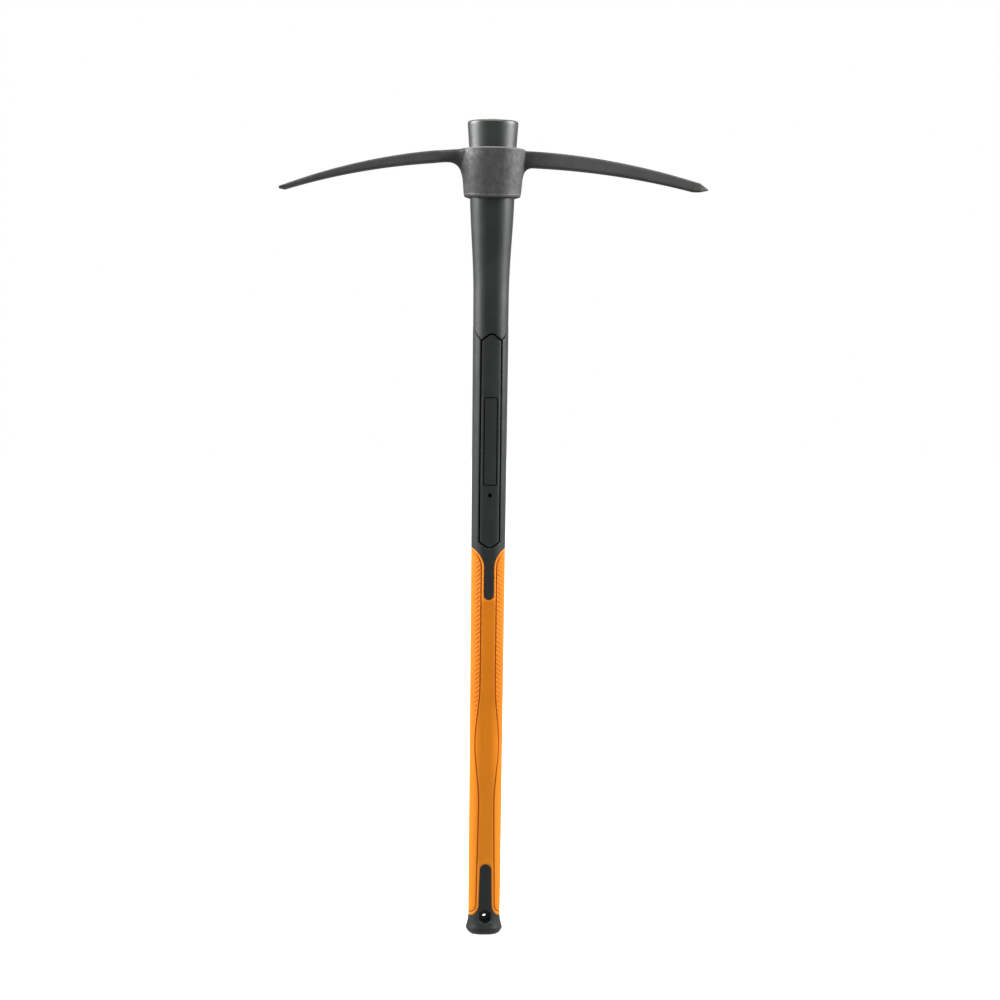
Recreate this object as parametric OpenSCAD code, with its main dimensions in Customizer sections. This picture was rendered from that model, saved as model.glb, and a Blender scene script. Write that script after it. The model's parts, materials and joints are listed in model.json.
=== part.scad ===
// Drop-through pick: a forged two-armed head wedged on the flared end of an oval handle.
// The handle's axis is Z with the butt at z = 0. The chisel arm points to -X and the point arm to +X.

/* [Handle section] */
// Width of the flat between the round sides of each oval section
flat_w = 6.4; // [4:0.1:8]

/* [Butt knob] */
// Width of the flat face under the butt
butt_w = 32; // [28:0.2:36]
// Greatest width of the knob
knob_w = 40.4; // [37:0.2:44]
// Height of the knob's widest line above the butt face
knob_wide_h = 5.8; // [4:0.1:9]
// Height at which the knob runs into the grip
knob_h = 20.5; // [16:0.5:30]

/* [Hang hole] */
// Diameter of the hole through the knob
hole_d = 4.4; // [4:0.1:8]
// Height of the hole's axis above the butt face
hole_h = 19.6; // [17:0.1:21]
// Width across flats of the hexagonal recess
hex_w = 13.6; // [11.5:0.1:15]
// Width across flats of the recess's inner step
hex_step_w = 9.8; // [8.5:0.1:11]
// Distance between the floors of the two recesses
hex_floor_d = 22.4; // [20:0.2:24]
// Length of the hole between the two inner steps
hole_l = 12; // [10:0.2:19]

/* [Grip] */
// Length of the grip sleeve
grip_l = 409.5; // [330:0.5:480]
// Width of the handle at the lower end of the grip
grip_low_w = 35.4; // [33.6:0.2:36]
// Width of the handle at the upper end of the grip
grip_top_w = 37.4; // [35:0.2:37.6]
// Thickness of the sleeve, measured across the width
grip_t = 2.2; // [1.4:0.1:2.6]
// Gap between the sleeve and the jacket that it is moulded on
mould_gap = 0.05; // [0.02:0.01:0.1]
// Width of the jacket's tongue at the top of the grip
tongue_w = 10.8; // [8:0.2:13]
// Length of that tongue below the top of the grip
tongue_l = 57.5; // [45:0.5:80]
// Height of the sleeve's rounded shoulders beside that tongue
shoulder_h = 22; // [16:0.5:28]
// Width of the jacket's tongue where it leaves the knob
foot_tongue_w = 14.2; // [13:0.2:16]
// Width of that tongue at its round end
foot_tongue_end_w = 12.6; // [10:0.2:12.8]
// Length of that tongue above the bottom of the grip
foot_tongue_l = 58; // [45:0.5:80]
// Height of the sleeve's rounded shoulders beside that tongue
foot_shoulder_h = 13.5; // [9:0.5:16]
// Width of the smooth field between the two seams
field_w = 16.8; // [15:0.2:18]
// Width of the field at its widest
field_wide_w = 26.2; // [20:0.2:27]
// Height of the field's widest line above the bottom of the grip
field_wide_h = 192; // [160:1:230]
// Length over which the field widens, on each side of that line
field_wide_l = 66; // [50:1:75]
// Distance from the tongues to the seam
seam_gap = 3; // [2.6:0.1:4]
// Width of the seam
seam_w = 1.6; // [1:0.1:2]
// Depth of the seam
seam_d = 0.8; // [0.4:0.1:1]

/* [Panelled shaft] */
// Length of the panelled shaft between the grip and the neck
shaft_l = 234.5; // [200:0.5:300]
// Width of the shaft at its upper end
shaft_top_w = 39.3; // [39:0.1:40.5]
// Width of the panel between its groove lines
panel_w = 22.8; // [20:0.2:25]
// Height of the panel's pointed ends
panel_point_h = 6.4; // [4:0.2:10]
// Width of the groove round the panel
groove_w = 1.9; // [1:0.1:2.4]
// Depth of the grooves
groove_d = 0.9; // [0.5:0.1:1.2]
// Width of the plate outlined inside the panel
plate_w = 14.4; // [12:0.2:16]
// Length of that plate
plate_l = 96.5; // [60:0.5:110]
// Distance from the top of the shaft to the plate
plate_drop = 69; // [40:0.5:90]
// Width of the groove round the plate
plate_groove_w = 1.2; // [0.8:0.1:1.6]
// Corner radius of the plate
plate_r = 1.6; // [1:0.1:3]
// Diameter of the round pin mark under the plate
pin_d = 4.4; // [3:0.1:6]
// Distance from the plate to the middle of the pin mark
pin_drop = 11; // [6:0.5:16]

/* [Neck and crown] */
// Length of the neck between the shaft and the head
neck_l = 150; // [130:0.5:180]
// Length of the straight part of the neck
neck_straight_l = 46; // [20:1:60]
// Width of the neck at its narrowest
neck_w = 38.8; // [38.2:0.1:38.9]
// Width of the handle at the lower edge of the head
eye_low_w = 49; // [46:0.2:50]
// Width of the handle at the upper edge of the head
eye_top_w = 52.3; // [51:0.1:54]
// Height of the crown above the head
crown_h = 29; // [20:0.5:45]
// Width of the crown at the top
crown_w = 56.2; // [54.2:0.2:60]
// Radius of the crown's upper edge
crown_r = 2.5; // [1:0.1:4]

/* [Core] */
// Diameter of the glass-fibre core
core_d = 19; // [16:0.2:20]
// Solid length left between the hexagonal recess and the core
core_stop = 8; // [6:0.5:15]
// Height of the core's end above the crown
core_proud = 1.8; // [0.2:0.1:2.5]
// Radial gap between the core and the jacket
core_gap = 0.05; // [0.02:0.01:0.1]

/* [Collar] */
// Height of the collar
collar_h = 56.5; // [50:0.5:65]
// Wall of the collar at its lower edge
collar_low_t = 6.4; // [5:0.1:9]
// Wall of the collar at its upper edge
collar_top_t = 10; // [8:0.1:13]
// Rise of the collar's lower edge from the cheeks to the arms
collar_bow = 2.2; // [1:0.1:5]
// Fall of the collar's upper edge from the cheeks to the arms
collar_fall = 1.8; // [0.5:0.1:3]
// How much thinner the wall is at the cheeks than beside the arms
cheek_thin = 3; // [1:0.1:3.6]
// Chamfer round the collar's upper edge
collar_edge = 1.2; // [0.6:0.1:2]
// Radial gap between the eye and the handle
eye_gap = 0.3; // [0.25:0.05:0.5]

/* [Chisel arm] */
// Reach of the chisel edge from the handle's axis
chisel_reach = 235; // [200:0.5:260]
// Radius of the arm's sweep
chisel_sweep_r = 688; // [550:2:850]
// Distance of the sweep's level point from the handle's axis
chisel_apex = 0; // [0:0.5:20]
// Depth of the arm's middle line below the collar's upper edge
chisel_drop = 8.1; // [7:0.1:10]
// Height of the arm at the collar
chisel_root_h = 12.9; // [9:0.1:13.4]
// Height of the arm at the bevel
chisel_tip_h = 4.4; // [2.4:0.1:6]
// Width of the arm at the collar
chisel_root_w = 22; // [18:0.5:26]
// Width of the chisel edge
chisel_tip_w = 27; // [22:0.5:36]
// Thickness left at the edge
chisel_edge_t = 0.8; // [0.5:0.1:1.2]
// Length of the bevel ground under the edge
chisel_bevel_l = 7; // [5:0.5:12]
// Radius between the arm and the collar
chisel_fillet_r = 16; // [10:0.5:20]

/* [Point arm] */
// Reach of the point from the handle's axis
point_reach = 241; // [200:0.5:260]
// Radius of the arm's sweep
point_sweep_r = 818; // [600:2:900]
// Distance of the sweep's level point from the handle's axis
point_apex = 16; // [0:0.5:20]
// Depth of the arm's middle line below the collar's upper edge
point_drop = 12; // [10.5:0.1:14]
// Height of the arm at the collar
point_root_h = 17.1; // [14:0.1:18]
// Height of the arm where the ground point starts
point_tip_h = 11.7; // [8:0.1:13]
// Width of the arm at the collar
point_root_w = 22; // [18:0.5:26]
// Width of the arm where the ground point starts
point_tip_w = 11; // [8:0.5:14]
// Length of the ground point
point_grind_l = 15; // [10:0.5:25]
// Height of the point above the arm's middle line
point_rise = 1.4; // [0:0.1:2]
// Width of the blunt end of the point
point_end_w = 1.2; // [0.8:0.1:2]
// Radius between the arm and the collar
point_fillet_r = 12; // [8:0.5:14]

/* [Arms] */
// Chamfer along the arms' edges
arm_edge = 2; // [1:0.1:2.4]
// How far the arms' roots reach into the collar's wall
arm_sink = 5; // [4:0.5:6]
// How much the arms widen towards the collar on each side
arm_flare = 3; // [1:0.5:4]
// How late the arms grow thin: 1 is an even taper
arm_taper = 1.4; // [1:0.1:2]

/* [Hidden] */
$fn = 96;

// Heights of the handle's sections, from the butt upwards
grip_z0 = knob_h;
grip_z1 = grip_z0 + grip_l;
shaft_z1 = grip_z1 + shaft_l;
eye_z0 = shaft_z1 + neck_l;
eye_z1 = eye_z0 + collar_h;
handle_l = eye_z1 + crown_h;

// The core ends above the hexagonal recess
core_z0 = hole_h + hex_w / sqrt(3) + core_stop;

// Section at the top of the grip: radius of its round sides, and distance round it from the front to the side
grip_top_r = (grip_top_w - flat_w) / 2;
grip_top_side = flat_w / 2 + grip_top_r * PI / 2;

// Power of the curve from the grip to the knob's widest line
knob_flare = 1.6;

// Length of the small step from the shaft to the neck, and slope of the neck and of the eye
step_l = 1;
neck_slope = 0.006;
eye_slope = (eye_top_w - eye_low_w) / 2 / collar_h;

// Room past a face for a cut, and half the width of a cut that clears the handle
over = 1;
clear_w = crown_w;

// Steps along a curved edge
curve_n = 8;
neck_n = 10;

function mix(a, b, t) = a + (b - a) * t;

// Cubic from a to b over a length l, leaving and arriving at the given slopes
function ease(a, b, slope_a, slope_b, l, t) =
    a * (2 * t ^ 3 - 3 * t ^ 2 + 1) + b * (3 * t ^ 2 - 2 * t ^ 3)
    + l * slope_a * (t ^ 3 - 2 * t ^ 2 + t) + l * slope_b * (t ^ 3 - t ^ 2);

// Points on an ellipse about c from angle a0 to a1
function arc(c, rx, ry, a0, a1, n = curve_n) =
    [for (i = [0 : n]) let (a = mix(a0, a1, i / n)) [c.x + rx * cos(a), c.y + ry * sin(a)]];

function flipped(pts) = [for (p = pts) [-p.x, p.y]];
function reversed(pts) = [for (i = [len(pts) - 1 : -1 : 0]) pts[i]];

// Outline of the handle's round sides as radius and height, drawn in by d
function handle_outline(d = 0) =
    let (
        butt = arc([butt_w / 2, knob_wide_h], (knob_w - butt_w) / 2, knob_wide_h, -90, 0),
        knob = [for (i = [1 : curve_n]) let (t = i / curve_n)
            [mix(grip_low_w, knob_w, (1 - t) ^ knob_flare) / 2, mix(knob_wide_h, knob_h, t)]],
        shaft = [[grip_top_w / 2, grip_z1], [shaft_top_w / 2, shaft_z1], [neck_w / 2, shaft_z1 + step_l]],
        neck_z0 = shaft_z1 + neck_straight_l,
        neck_r0 = neck_w / 2 + neck_slope * neck_straight_l,
        curve_l = eye_z0 - neck_z0,
        neck = [for (i = [0 : neck_n]) let (t = i / neck_n)
            [ease(neck_r0, eye_low_w / 2, neck_slope, eye_slope, curve_l, t), neck_z0 + curve_l * t]],
        crown = concat([[eye_top_w / 2, eye_z1]],
            arc([crown_w / 2 - crown_r, handle_l - crown_r], crown_r, crown_r, 0, 90, curve_n / 2)),
        side = concat(butt, knob, shaft, neck, crown)
    )
    concat([[0, 0]], [for (p = side) [p.x - flat_w / 2 - d, p.y]], [[0, handle_l]]);

// Oval solid: the outline turned half round at each side, with a flat stretch between
module oval_body(outline, flat = flat_w) {
    for (side = [-1, 1]) translate([side * flat / 2, 0, 0]) rotate(-90 * side)
        rotate_extrude(angle = 180) polygon(outline);
    rotate([90, 0, 90]) linear_extrude(flat, center = true)
        polygon(concat(outline, reversed(flipped(outline))));
}

// Prism of a front-view outline, right through the handle from front to back
module through() {
    rotate([90, 0, 0]) linear_extrude(clear_w, center = true) children();
}

// Cuts a front-view outline into the handle's surface to depth d, front and back
module surface_cut(d) {
    difference() {
        through() children();
        oval_body(handle_outline(d));
    }
}

// Line of width w along the edge of a front-view outline
module outline_band(w) {
    difference() {
        offset(delta = w / 2) children();
        offset(delta = -w / 2) children();
    }
}

// Front-view place of points given by their distance round the section at the top of the grip,
// and that distance for one x
function wrapped(pts) = [for (p = pts) let (a = (p.x - flat_w / 2) / grip_top_r * 180 / PI)
    [flat_w / 2 + grip_top_r * sin(a), p.y]];
function unwrapped(x) = flat_w / 2 + grip_top_r * asin((x - flat_w / 2) / grip_top_r) * PI / 180;

// Rounded shoulder at the top of the sleeve, from the side to the tongue, drawn in by d
function top_shoulder(d) =
    let (reach = grip_top_side - unwrapped(tongue_w / 2 + d))
    wrapped(arc([grip_top_side, grip_z1 - shoulder_h], reach, shoulder_h - d, 90, 180));

// Right half of the sleeve's upper edge, from outside to the middle, drawn in by d
function grip_top_edge(d = 0) =
    let (half = tongue_w / 2 + d)
    concat([[clear_w, grip_z1 - d]], top_shoulder(d),
        arc([0, grip_z1 - tongue_l + tongue_w / 2], half, half, 0, -90));

// Right half of the sleeve's lower edge, from outside to the middle, drawn in by d
function grip_low_edge(d = 0) =
    let (half = foot_tongue_w / 2 + d, end = foot_tongue_end_w / 2 + d, side = grip_low_w / 2)
    concat([[clear_w, grip_z0 + d]],
        arc([side, grip_z0 + foot_shoulder_h], side - half, foot_shoulder_h - d, 270, 180),
        arc([0, grip_z0 + foot_tongue_l - foot_tongue_end_w / 2], end, end, 0, 90));

// Front view of the sleeve, drawn in by d
module grip_view(d = 0) {
    top = grip_top_edge(d);
    low = grip_low_edge(d);
    polygon(concat(top, reversed(flipped(top)), flipped(low), reversed(low)));
}

// Half-width of the smooth field at height z, widened once along its length
function field_half(z) =
    let (u = (z - grip_z0 - field_wide_h) / field_wide_l)
    mix(field_w, field_wide_w, abs(u) < 1 ? cos(90 * u) ^ 2 : 0) / 2;

// Front view of the smooth field, with the edging that runs along the sleeve's ends
module field_view() {
    side_low = grip_low_w / 2;
    foot_half = foot_tongue_w / 2 + seam_gap;
    wide_z = grip_z0 + field_wide_h;
    middle_n = 4 * curve_n;
    right = concat(
        [[clear_w, grip_z0 - over], [clear_w, grip_z0 + seam_gap]],
        arc([side_low, grip_z0 + foot_shoulder_h],
            side_low - foot_half, foot_shoulder_h - seam_gap, 270, 180),
        [[foot_half, grip_z0 + foot_tongue_l - foot_tongue_end_w]],
        [for (i = [0 : middle_n]) let (z = wide_z + field_wide_l * mix(-1, 1, i / middle_n))
            [field_half(z), z]],
        reversed(top_shoulder(seam_gap)),
        [[clear_w, grip_z1 - seam_gap], [clear_w, grip_z1 + over]]);
    polygon(concat(right, reversed(flipped(right))));
}

// Front view of the panel, pointed at both ends
module panel_view() {
    half = panel_w / 2;
    z0 = grip_z1 + panel_point_h;
    z1 = shaft_z1 - panel_point_h;
    polygon([[half, z0], [half, z1], [0, shaft_z1], [-half, z1], [-half, z0],
        [-groove_w, grip_z1], [groove_w, grip_z1]]);
}

// Front view of the plate inside the panel
module plate_view() {
    z1 = shaft_z1 - plate_drop;
    inner = [plate_w - 2 * plate_r, plate_l - 2 * plate_r];
    translate([-inner.x / 2, z1 - plate_l + plate_r]) offset(r = plate_r) square(inner);
}

// Hexagonal prism across the knob, with a corner upwards, starting at distance y from the axis
module hex_recess(width, y) {
    translate([0, -y, hole_h]) rotate([90, 0, 0]) rotate(30)
        cylinder(d = width / cos(30), h = knob_w, $fn = 6);
}

module hang_hole() {
    translate([0, 0, hole_h]) rotate([90, 0, 0]) cylinder(d = hole_d, h = knob_w, center = true);
    for (side = [0, 180]) rotate(side) {
        hex_recess(hex_w, hex_floor_d / 2);
        hex_recess(hex_step_w, hole_l / 2);
    }
}

module handle_core() {
    color("goldenrod") translate([0, 0, core_z0]) cylinder(d = core_d, h = handle_l + core_proud - core_z0);
}

module handle_jacket() {
    pin_z = shaft_z1 - plate_drop - plate_l - pin_drop;
    bore_d = core_d + 2 * core_gap;
    color("#303435") difference() {
        oval_body(handle_outline());
        surface_cut(grip_t) grip_view();
        surface_cut(groove_d) outline_band(groove_w) panel_view();
        surface_cut(groove_d) outline_band(plate_groove_w) plate_view();
        surface_cut(groove_d) translate([0, pin_z]) circle(d = pin_d);
        translate([0, 0, core_z0]) cylinder(d = bore_d, h = handle_l);
        hang_hole();
    }
}

module grip_sleeve() {
    color("#f0962c") difference() {
        intersection() {
            oval_body(handle_outline());
            through() grip_view(mould_gap);
        }
        oval_body(handle_outline(grip_t - mould_gap));
        surface_cut(seam_d) outline_band(seam_w) field_view();
    }
}

// Eight-sided section at x, from height b to t and of half-width w, with its edges chamfered by c
function arm_ring(x, b, t, w, c) = [
    [x, w - c, t], [x, w, t - c], [x, w, b + c], [x, w - c, b],
    [x, c - w, b], [x, -w, b + c], [x, -w, t - c], [x, c - w, t]];

// Solid through a row of eight-sided sections with rising x
module loft(rings) {
    n = len(rings[0]);
    last = len(rings) - 1;
    points = [for (ring = rings) each ring];
    sides = [for (i = [0 : last - 1], j = [0 : n - 1]) let (k = (j + 1) % n)
        [i * n + j, i * n + k, (i + 1) * n + k, (i + 1) * n + j]];
    near = [for (j = [n - 1 : -1 : 0]) j];
    far = [for (j = [0 : n - 1]) last * n + j];
    polyhedron(points, concat(sides, [near, far]));
}

// Height of an arm's middle line at x, on an arc that starts level over the collar
function sweep_z(x, drop, r, apex) = eye_z1 - drop - r + sqrt(r ^ 2 - max(0, x - apex) ^ 2);

// Half-width of the collar at height z
function collar_half(z) =
    let (low = eye_low_w / 2 + collar_low_t, top = eye_top_w / 2 + collar_top_t)
    mix(low, top, (z - eye_z0) / collar_h) + eye_gap;

// Sections that carry an arm's root into the collar with a fillet of radius r below and beside it
function root_rings(drop, sweep_r, apex, h, w, r) =
    let (wall_x = collar_half(eye_z1 - drop - h))
    concat(
        [let (x = wall_x - arm_sink, z = sweep_z(x, drop, sweep_r, apex))
            arm_ring(x, z - h / 2 - r, z + h / 2, w / 2 + arm_flare, arm_edge)],
        [for (i = [0 : curve_n]) let (
                a = mix(90, 0, i / curve_n),
                x = wall_x + r * (1 - sin(a)),
                z = sweep_z(x, drop, sweep_r, apex),
                f = 1 - cos(a))
            arm_ring(x, z - h / 2 - r * f, z + h / 2, w / 2 + arm_flare * f, arm_edge)]);

// Distance from the axis at which a root's fillet ends
function root_end(drop, h, r) = collar_half(eye_z1 - drop - h) + r;

module chisel_arm() {
    x0 = root_end(chisel_drop, chisel_root_h, chisel_fillet_r);
    x1 = chisel_reach - chisel_bevel_l;
    blade = [for (i = [1 : 2 * curve_n]) let (
            t = i / (2 * curve_n),
            x = mix(x0, x1, t),
            z = sweep_z(x, chisel_drop, chisel_sweep_r, chisel_apex),
            h = mix(chisel_root_h, chisel_tip_h, t ^ arm_taper),
            w = mix(chisel_root_w, chisel_tip_w, t ^ 2))
        arm_ring(x, z - h / 2, z + h / 2, w / 2, min(arm_edge, h / 4))];
    edge_z = sweep_z(chisel_reach, chisel_drop, chisel_sweep_r, chisel_apex) + chisel_tip_h / 2;
    edge = arm_ring(chisel_reach, edge_z - chisel_edge_t, edge_z, chisel_tip_w / 2, chisel_edge_t / 4);
    mirror([1, 0, 0]) loft(concat(
        root_rings(chisel_drop, chisel_sweep_r, chisel_apex, chisel_root_h, chisel_root_w, chisel_fillet_r),
        blade, [edge]));
}

module point_arm() {
    x0 = root_end(point_drop, point_root_h, point_fillet_r);
    x1 = point_reach - point_grind_l;
    bar = [for (i = [1 : 2 * curve_n]) let (
            t = i / (2 * curve_n),
            x = mix(x0, x1, t),
            z = sweep_z(x, point_drop, point_sweep_r, point_apex),
            h = mix(point_root_h, point_tip_h, t ^ arm_taper),
            w = mix(point_root_w, point_tip_w, t))
        arm_ring(x, z - h / 2, z + h / 2, w / 2, arm_edge)];
    tip_z = sweep_z(point_reach, point_drop, point_sweep_r, point_apex) + point_rise;
    half = point_end_w / 2;
    tip = arm_ring(point_reach, tip_z - half, tip_z + half, half, half / 4);
    loft(concat(
        root_rings(point_drop, point_sweep_r, point_apex, point_root_h, point_root_w, point_fillet_r),
        bar, [tip]));
}

// Radius of an arc that moves by rise over a half-length l
function bow_r(l, rise) = (l ^ 2 + rise ^ 2) / (2 * rise);

// Oval collar that widens upwards, with its edges bowed where the cheeks run into the arms
module collar() {
    flat = flat_w + 2 * cheek_thin;
    low = collar_half(eye_z0);
    top = collar_half(eye_z1);
    low_r = bow_r(low, collar_bow);
    top_r = bow_r(top, collar_fall);
    outline = [[0, eye_z0], [low, eye_z0],
        [top, eye_z1 - collar_edge], [top - collar_edge, eye_z1], [0, eye_z1]];
    intersection() {
        oval_body([for (p = outline) [max(0, p.x - flat / 2), p.y]], flat);
        translate([0, 0, eye_z0 + low_r]) rotate([90, 0, 0]) cylinder(r = low_r, h = 2 * top, center = true);
        translate([0, 0, eye_z1 - top_r]) rotate([90, 0, 0]) cylinder(r = top_r, h = 2 * top, center = true);
    }
}

// Tapered hole that the handle wedges into
module eye() {
    low = (eye_low_w - flat_w) / 2 + eye_gap - eye_slope * over;
    top = (eye_top_w - flat_w) / 2 + eye_gap + eye_slope * over;
    oval_body([[0, eye_z0 - over], [low, eye_z0 - over], [top, eye_z1 + over], [0, eye_z1 + over]]);
}

module pick_head() {
    color("dimgray") difference() {
        union() {
            collar();
            chisel_arm();
            point_arm();
        }
        eye();
    }
}

pick_head();
handle_core();
handle_jacket();
grip_sleeve();
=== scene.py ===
import json
import math

import bpy
import numpy as np
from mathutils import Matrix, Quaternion, Vector, geometry, noise


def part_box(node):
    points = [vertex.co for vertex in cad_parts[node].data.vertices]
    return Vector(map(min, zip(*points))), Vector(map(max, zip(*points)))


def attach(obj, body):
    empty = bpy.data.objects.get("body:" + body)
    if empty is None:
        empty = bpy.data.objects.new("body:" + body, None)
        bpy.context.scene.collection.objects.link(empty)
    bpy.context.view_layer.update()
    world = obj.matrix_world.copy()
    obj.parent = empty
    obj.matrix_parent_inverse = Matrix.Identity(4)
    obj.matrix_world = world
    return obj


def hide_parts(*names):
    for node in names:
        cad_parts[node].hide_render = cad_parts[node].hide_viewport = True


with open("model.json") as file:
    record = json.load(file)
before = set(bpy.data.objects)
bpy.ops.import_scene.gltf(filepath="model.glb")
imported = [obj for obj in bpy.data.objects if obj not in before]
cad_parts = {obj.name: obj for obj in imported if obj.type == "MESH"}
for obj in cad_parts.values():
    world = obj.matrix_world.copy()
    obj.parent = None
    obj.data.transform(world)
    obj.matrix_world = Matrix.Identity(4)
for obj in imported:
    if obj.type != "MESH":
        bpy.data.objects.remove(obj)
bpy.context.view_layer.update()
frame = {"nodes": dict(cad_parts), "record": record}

# Shapes are worked out in millimetres in the frame's axes: the handle along Z with its butt at z = 0,
# the chisel arm towards -X, the point arm towards +X and the photographed side towards -Y.
MM = 0.001


def box_mm(node):
    low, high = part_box(node)
    return low / MM, high / MM


JACKET_HIGH = box_mm("handle_jacket")[1]
GRIP_LOW, GRIP_HIGH = box_mm("grip_sleeve")
HEAD_LOW, HEAD_HIGH = box_mm("pick_head")
CORE_LOW, CORE_HIGH = box_mm("handle_core")
HANG_HOLE = next(m for m in frame["record"]["mounts"] if m["name"] == "hang_hole")

# Heights along the handle
MOULD_GAP = 0.05
GRIP_Z0 = GRIP_LOW.z - MOULD_GAP
GRIP_Z1 = GRIP_HIGH.z + MOULD_GAP
SHAFT_L = 234.5
SHAFT_Z1 = GRIP_Z1 + SHAFT_L
EYE_Z0 = HEAD_LOW.z
EYE_Z1 = HEAD_HIGH.z
HANDLE_L = JACKET_HIGH.z
COLLAR_H = EYE_Z1 - EYE_Z0

# Half-widths along the handle, whose section is an oval with a flat stretch front and back
FLAT_HALF = 3.2
BUTT_HALF = 15.0
KNOB_HALF = 20.5
KNOB_WIDE_Z = 6.6
KNOB_FOOT_POWER = 1.35
KNOB_FLARE = 1.6
GRIP_LOW_HALF = 17.7
GRIP_TOP_HALF = 18.7
SHAFT_TOP_HALF = 19.65
NECK_HALF = 19.4
NECK_STEP_H = 1.0
NECK_SLOPE = 0.006
NECK_STRAIGHT_L = 46.0
EYE_LOW_HALF = 24.5
EYE_TOP_HALF = 26.15
EYE_SLOPE = (EYE_TOP_HALF - EYE_LOW_HALF) / COLLAR_H
CROWN_HALF = JACKET_HIGH.x
CROWN_R = 2.5
CORE_R = CORE_HIGH.x
CORE_GAP = 0.05
KNOB_STEPS = 25
NECK_STEPS = 50


def mix(a, b, t):
    return a + (b - a) * t


def smoothstep(t):
    t = np.clip(t, 0, 1)
    return t * t * (3 - 2 * t)


def soft_step(d, width):
    """Soft step from 0 to 1, centred on d = 0 and spread over that width."""
    return smoothstep(d / width + 0.5)


def dip(d, half):
    """1 in the middle of a groove of that half-width, 0 at its edges, with steep walls."""
    return np.sqrt(np.clip(1 - (d / half) ** 2, 0, 1))


def ease(a, b, slope_a, slope_b, length, t):
    """Cubic from a to b that leaves and arrives at the given slopes."""
    rise = a * (2 * t**3 - 3 * t**2 + 1) + b * (3 * t**2 - 2 * t**3)
    return rise + length * (slope_a * (t**3 - 2 * t**2 + t) + slope_b * (t**3 - t**2))


def handle_profile():
    """Heights and half-widths of the handle from the knob's widest line to the crown's upper edge."""
    pairs = []
    for t in np.linspace(0, 1, KNOB_STEPS):
        pairs.append((mix(KNOB_WIDE_Z, GRIP_Z0, t), mix(GRIP_LOW_HALF, KNOB_HALF, (1 - t) ** KNOB_FLARE)))
    pairs += [(GRIP_Z1, GRIP_TOP_HALF), (SHAFT_Z1, SHAFT_TOP_HALF), (SHAFT_Z1 + NECK_STEP_H, NECK_HALF)]
    neck_z0 = SHAFT_Z1 + NECK_STRAIGHT_L
    neck_half0 = NECK_HALF + NECK_SLOPE * NECK_STRAIGHT_L
    curve_l = EYE_Z0 - neck_z0
    for t in np.linspace(0, 1, NECK_STEPS):
        half = ease(neck_half0, EYE_LOW_HALF, NECK_SLOPE, EYE_SLOPE, curve_l, t)
        pairs.append((neck_z0 + curve_l * t, half))
    pairs += [(EYE_Z1, EYE_TOP_HALF), (HANDLE_L - CROWN_R, CROWN_HALF)]
    return np.array(pairs).T


PROFILE_Z, PROFILE_HALF = handle_profile()


def half_width(z):
    return np.interp(z, PROFILE_Z, PROFILE_HALF)


def side(z):
    """Distance round the section at height z from the middle of the front to the middle of the side."""
    return FLAT_HALF + (half_width(z) - FLAT_HALF) * math.pi / 2


def skin(s, z, drop):
    """Points on the handle at distance s round the section from the front's middle, sunk by drop."""
    r = half_width(z) - FLAT_HALF
    a = np.maximum(s - FLAT_HALF, 0) / r
    x = np.minimum(s, FLAT_HALF) + (r - drop) * np.sin(a)
    return np.stack([x, (drop - r) * np.cos(a), z], axis=-1)


def unwrap(points):
    """Distances round the section for front-view points (x, z) with x of either sign."""
    made = []
    for x, z in points:
        r = half_width(z) - FLAT_HALF
        over = max(abs(x) - FLAT_HALF, 0)
        made.append((math.copysign(min(abs(x), FLAT_HALF) + r * math.asin(min(1, over / r)), x), z))
    return made


# Outlines in the plane of (distance round the section, height)


def arc(centre, rx, ry, a0, a1, n):
    turns = np.radians(np.linspace(a0, a1, n + 1))
    return [(centre[0] + rx * math.cos(a), centre[1] + ry * math.sin(a)) for a in turns]


def flipped(points):
    return [(-x, z) for x, z in points]


def rounded(corners, radii, n=6):
    """Closed outline with each corner rounded over the given distance along its edges."""
    made = []
    for i, (corner, r) in enumerate(zip(corners, radii)):
        c = Vector(corner)
        a = c + (Vector(corners[i - 1]) - c).normalized() * r
        b = c + (Vector(corners[(i + 1) % len(corners)]) - c).normalized() * r
        for t in np.linspace(0, 1, n + 1):
            made.append(tuple(a * (1 - t) ** 2 + c * 2 * t * (1 - t) + b * t**2))
    return made


def grown(outline, d):
    """Closed counter-clockwise outline moved outwards by d."""
    made = []
    for i, p in enumerate(outline):
        before = Vector(p) - Vector(outline[i - 1])
        after = Vector(outline[(i + 1) % len(outline)]) - Vector(p)
        n0 = Vector((before.y, -before.x)).normalized()
        n1 = Vector((after.y, -after.x)).normalized()
        across = (n0 + n1).normalized()
        made.append(tuple(Vector(p) + across * d / max(across.dot(n1), 0.4)))
    return made


def right_half(outline):
    """The stretch of a closed outline at x > 0, from one end on x = 0 to the other."""
    def crossing(a, b):
        return (0.0, mix(a[1], b[1], a[0] / (a[0] - b[0])))

    n = len(outline)
    i = next(k for k in range(n) if outline[k][0] <= 0 < outline[(k + 1) % n][0])
    made = [crossing(outline[i], outline[(i + 1) % n])]
    while outline[(i + 1) % n][0] > 0:
        i = (i + 1) % n
        made.append(outline[i])
    return made + [crossing(outline[i], outline[(i + 1) % n])]


def spaced(line, step):
    """The line with its long stretches cut into pieces no longer than step."""
    made = [line[0]]
    for a, b in zip(line, line[1:]):
        n = max(1, math.ceil(math.dist(a, b) / step))
        made += [(mix(a[0], b[0], k / n), mix(a[1], b[1], k / n)) for k in range(1, n + 1)]
    return made


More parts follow.
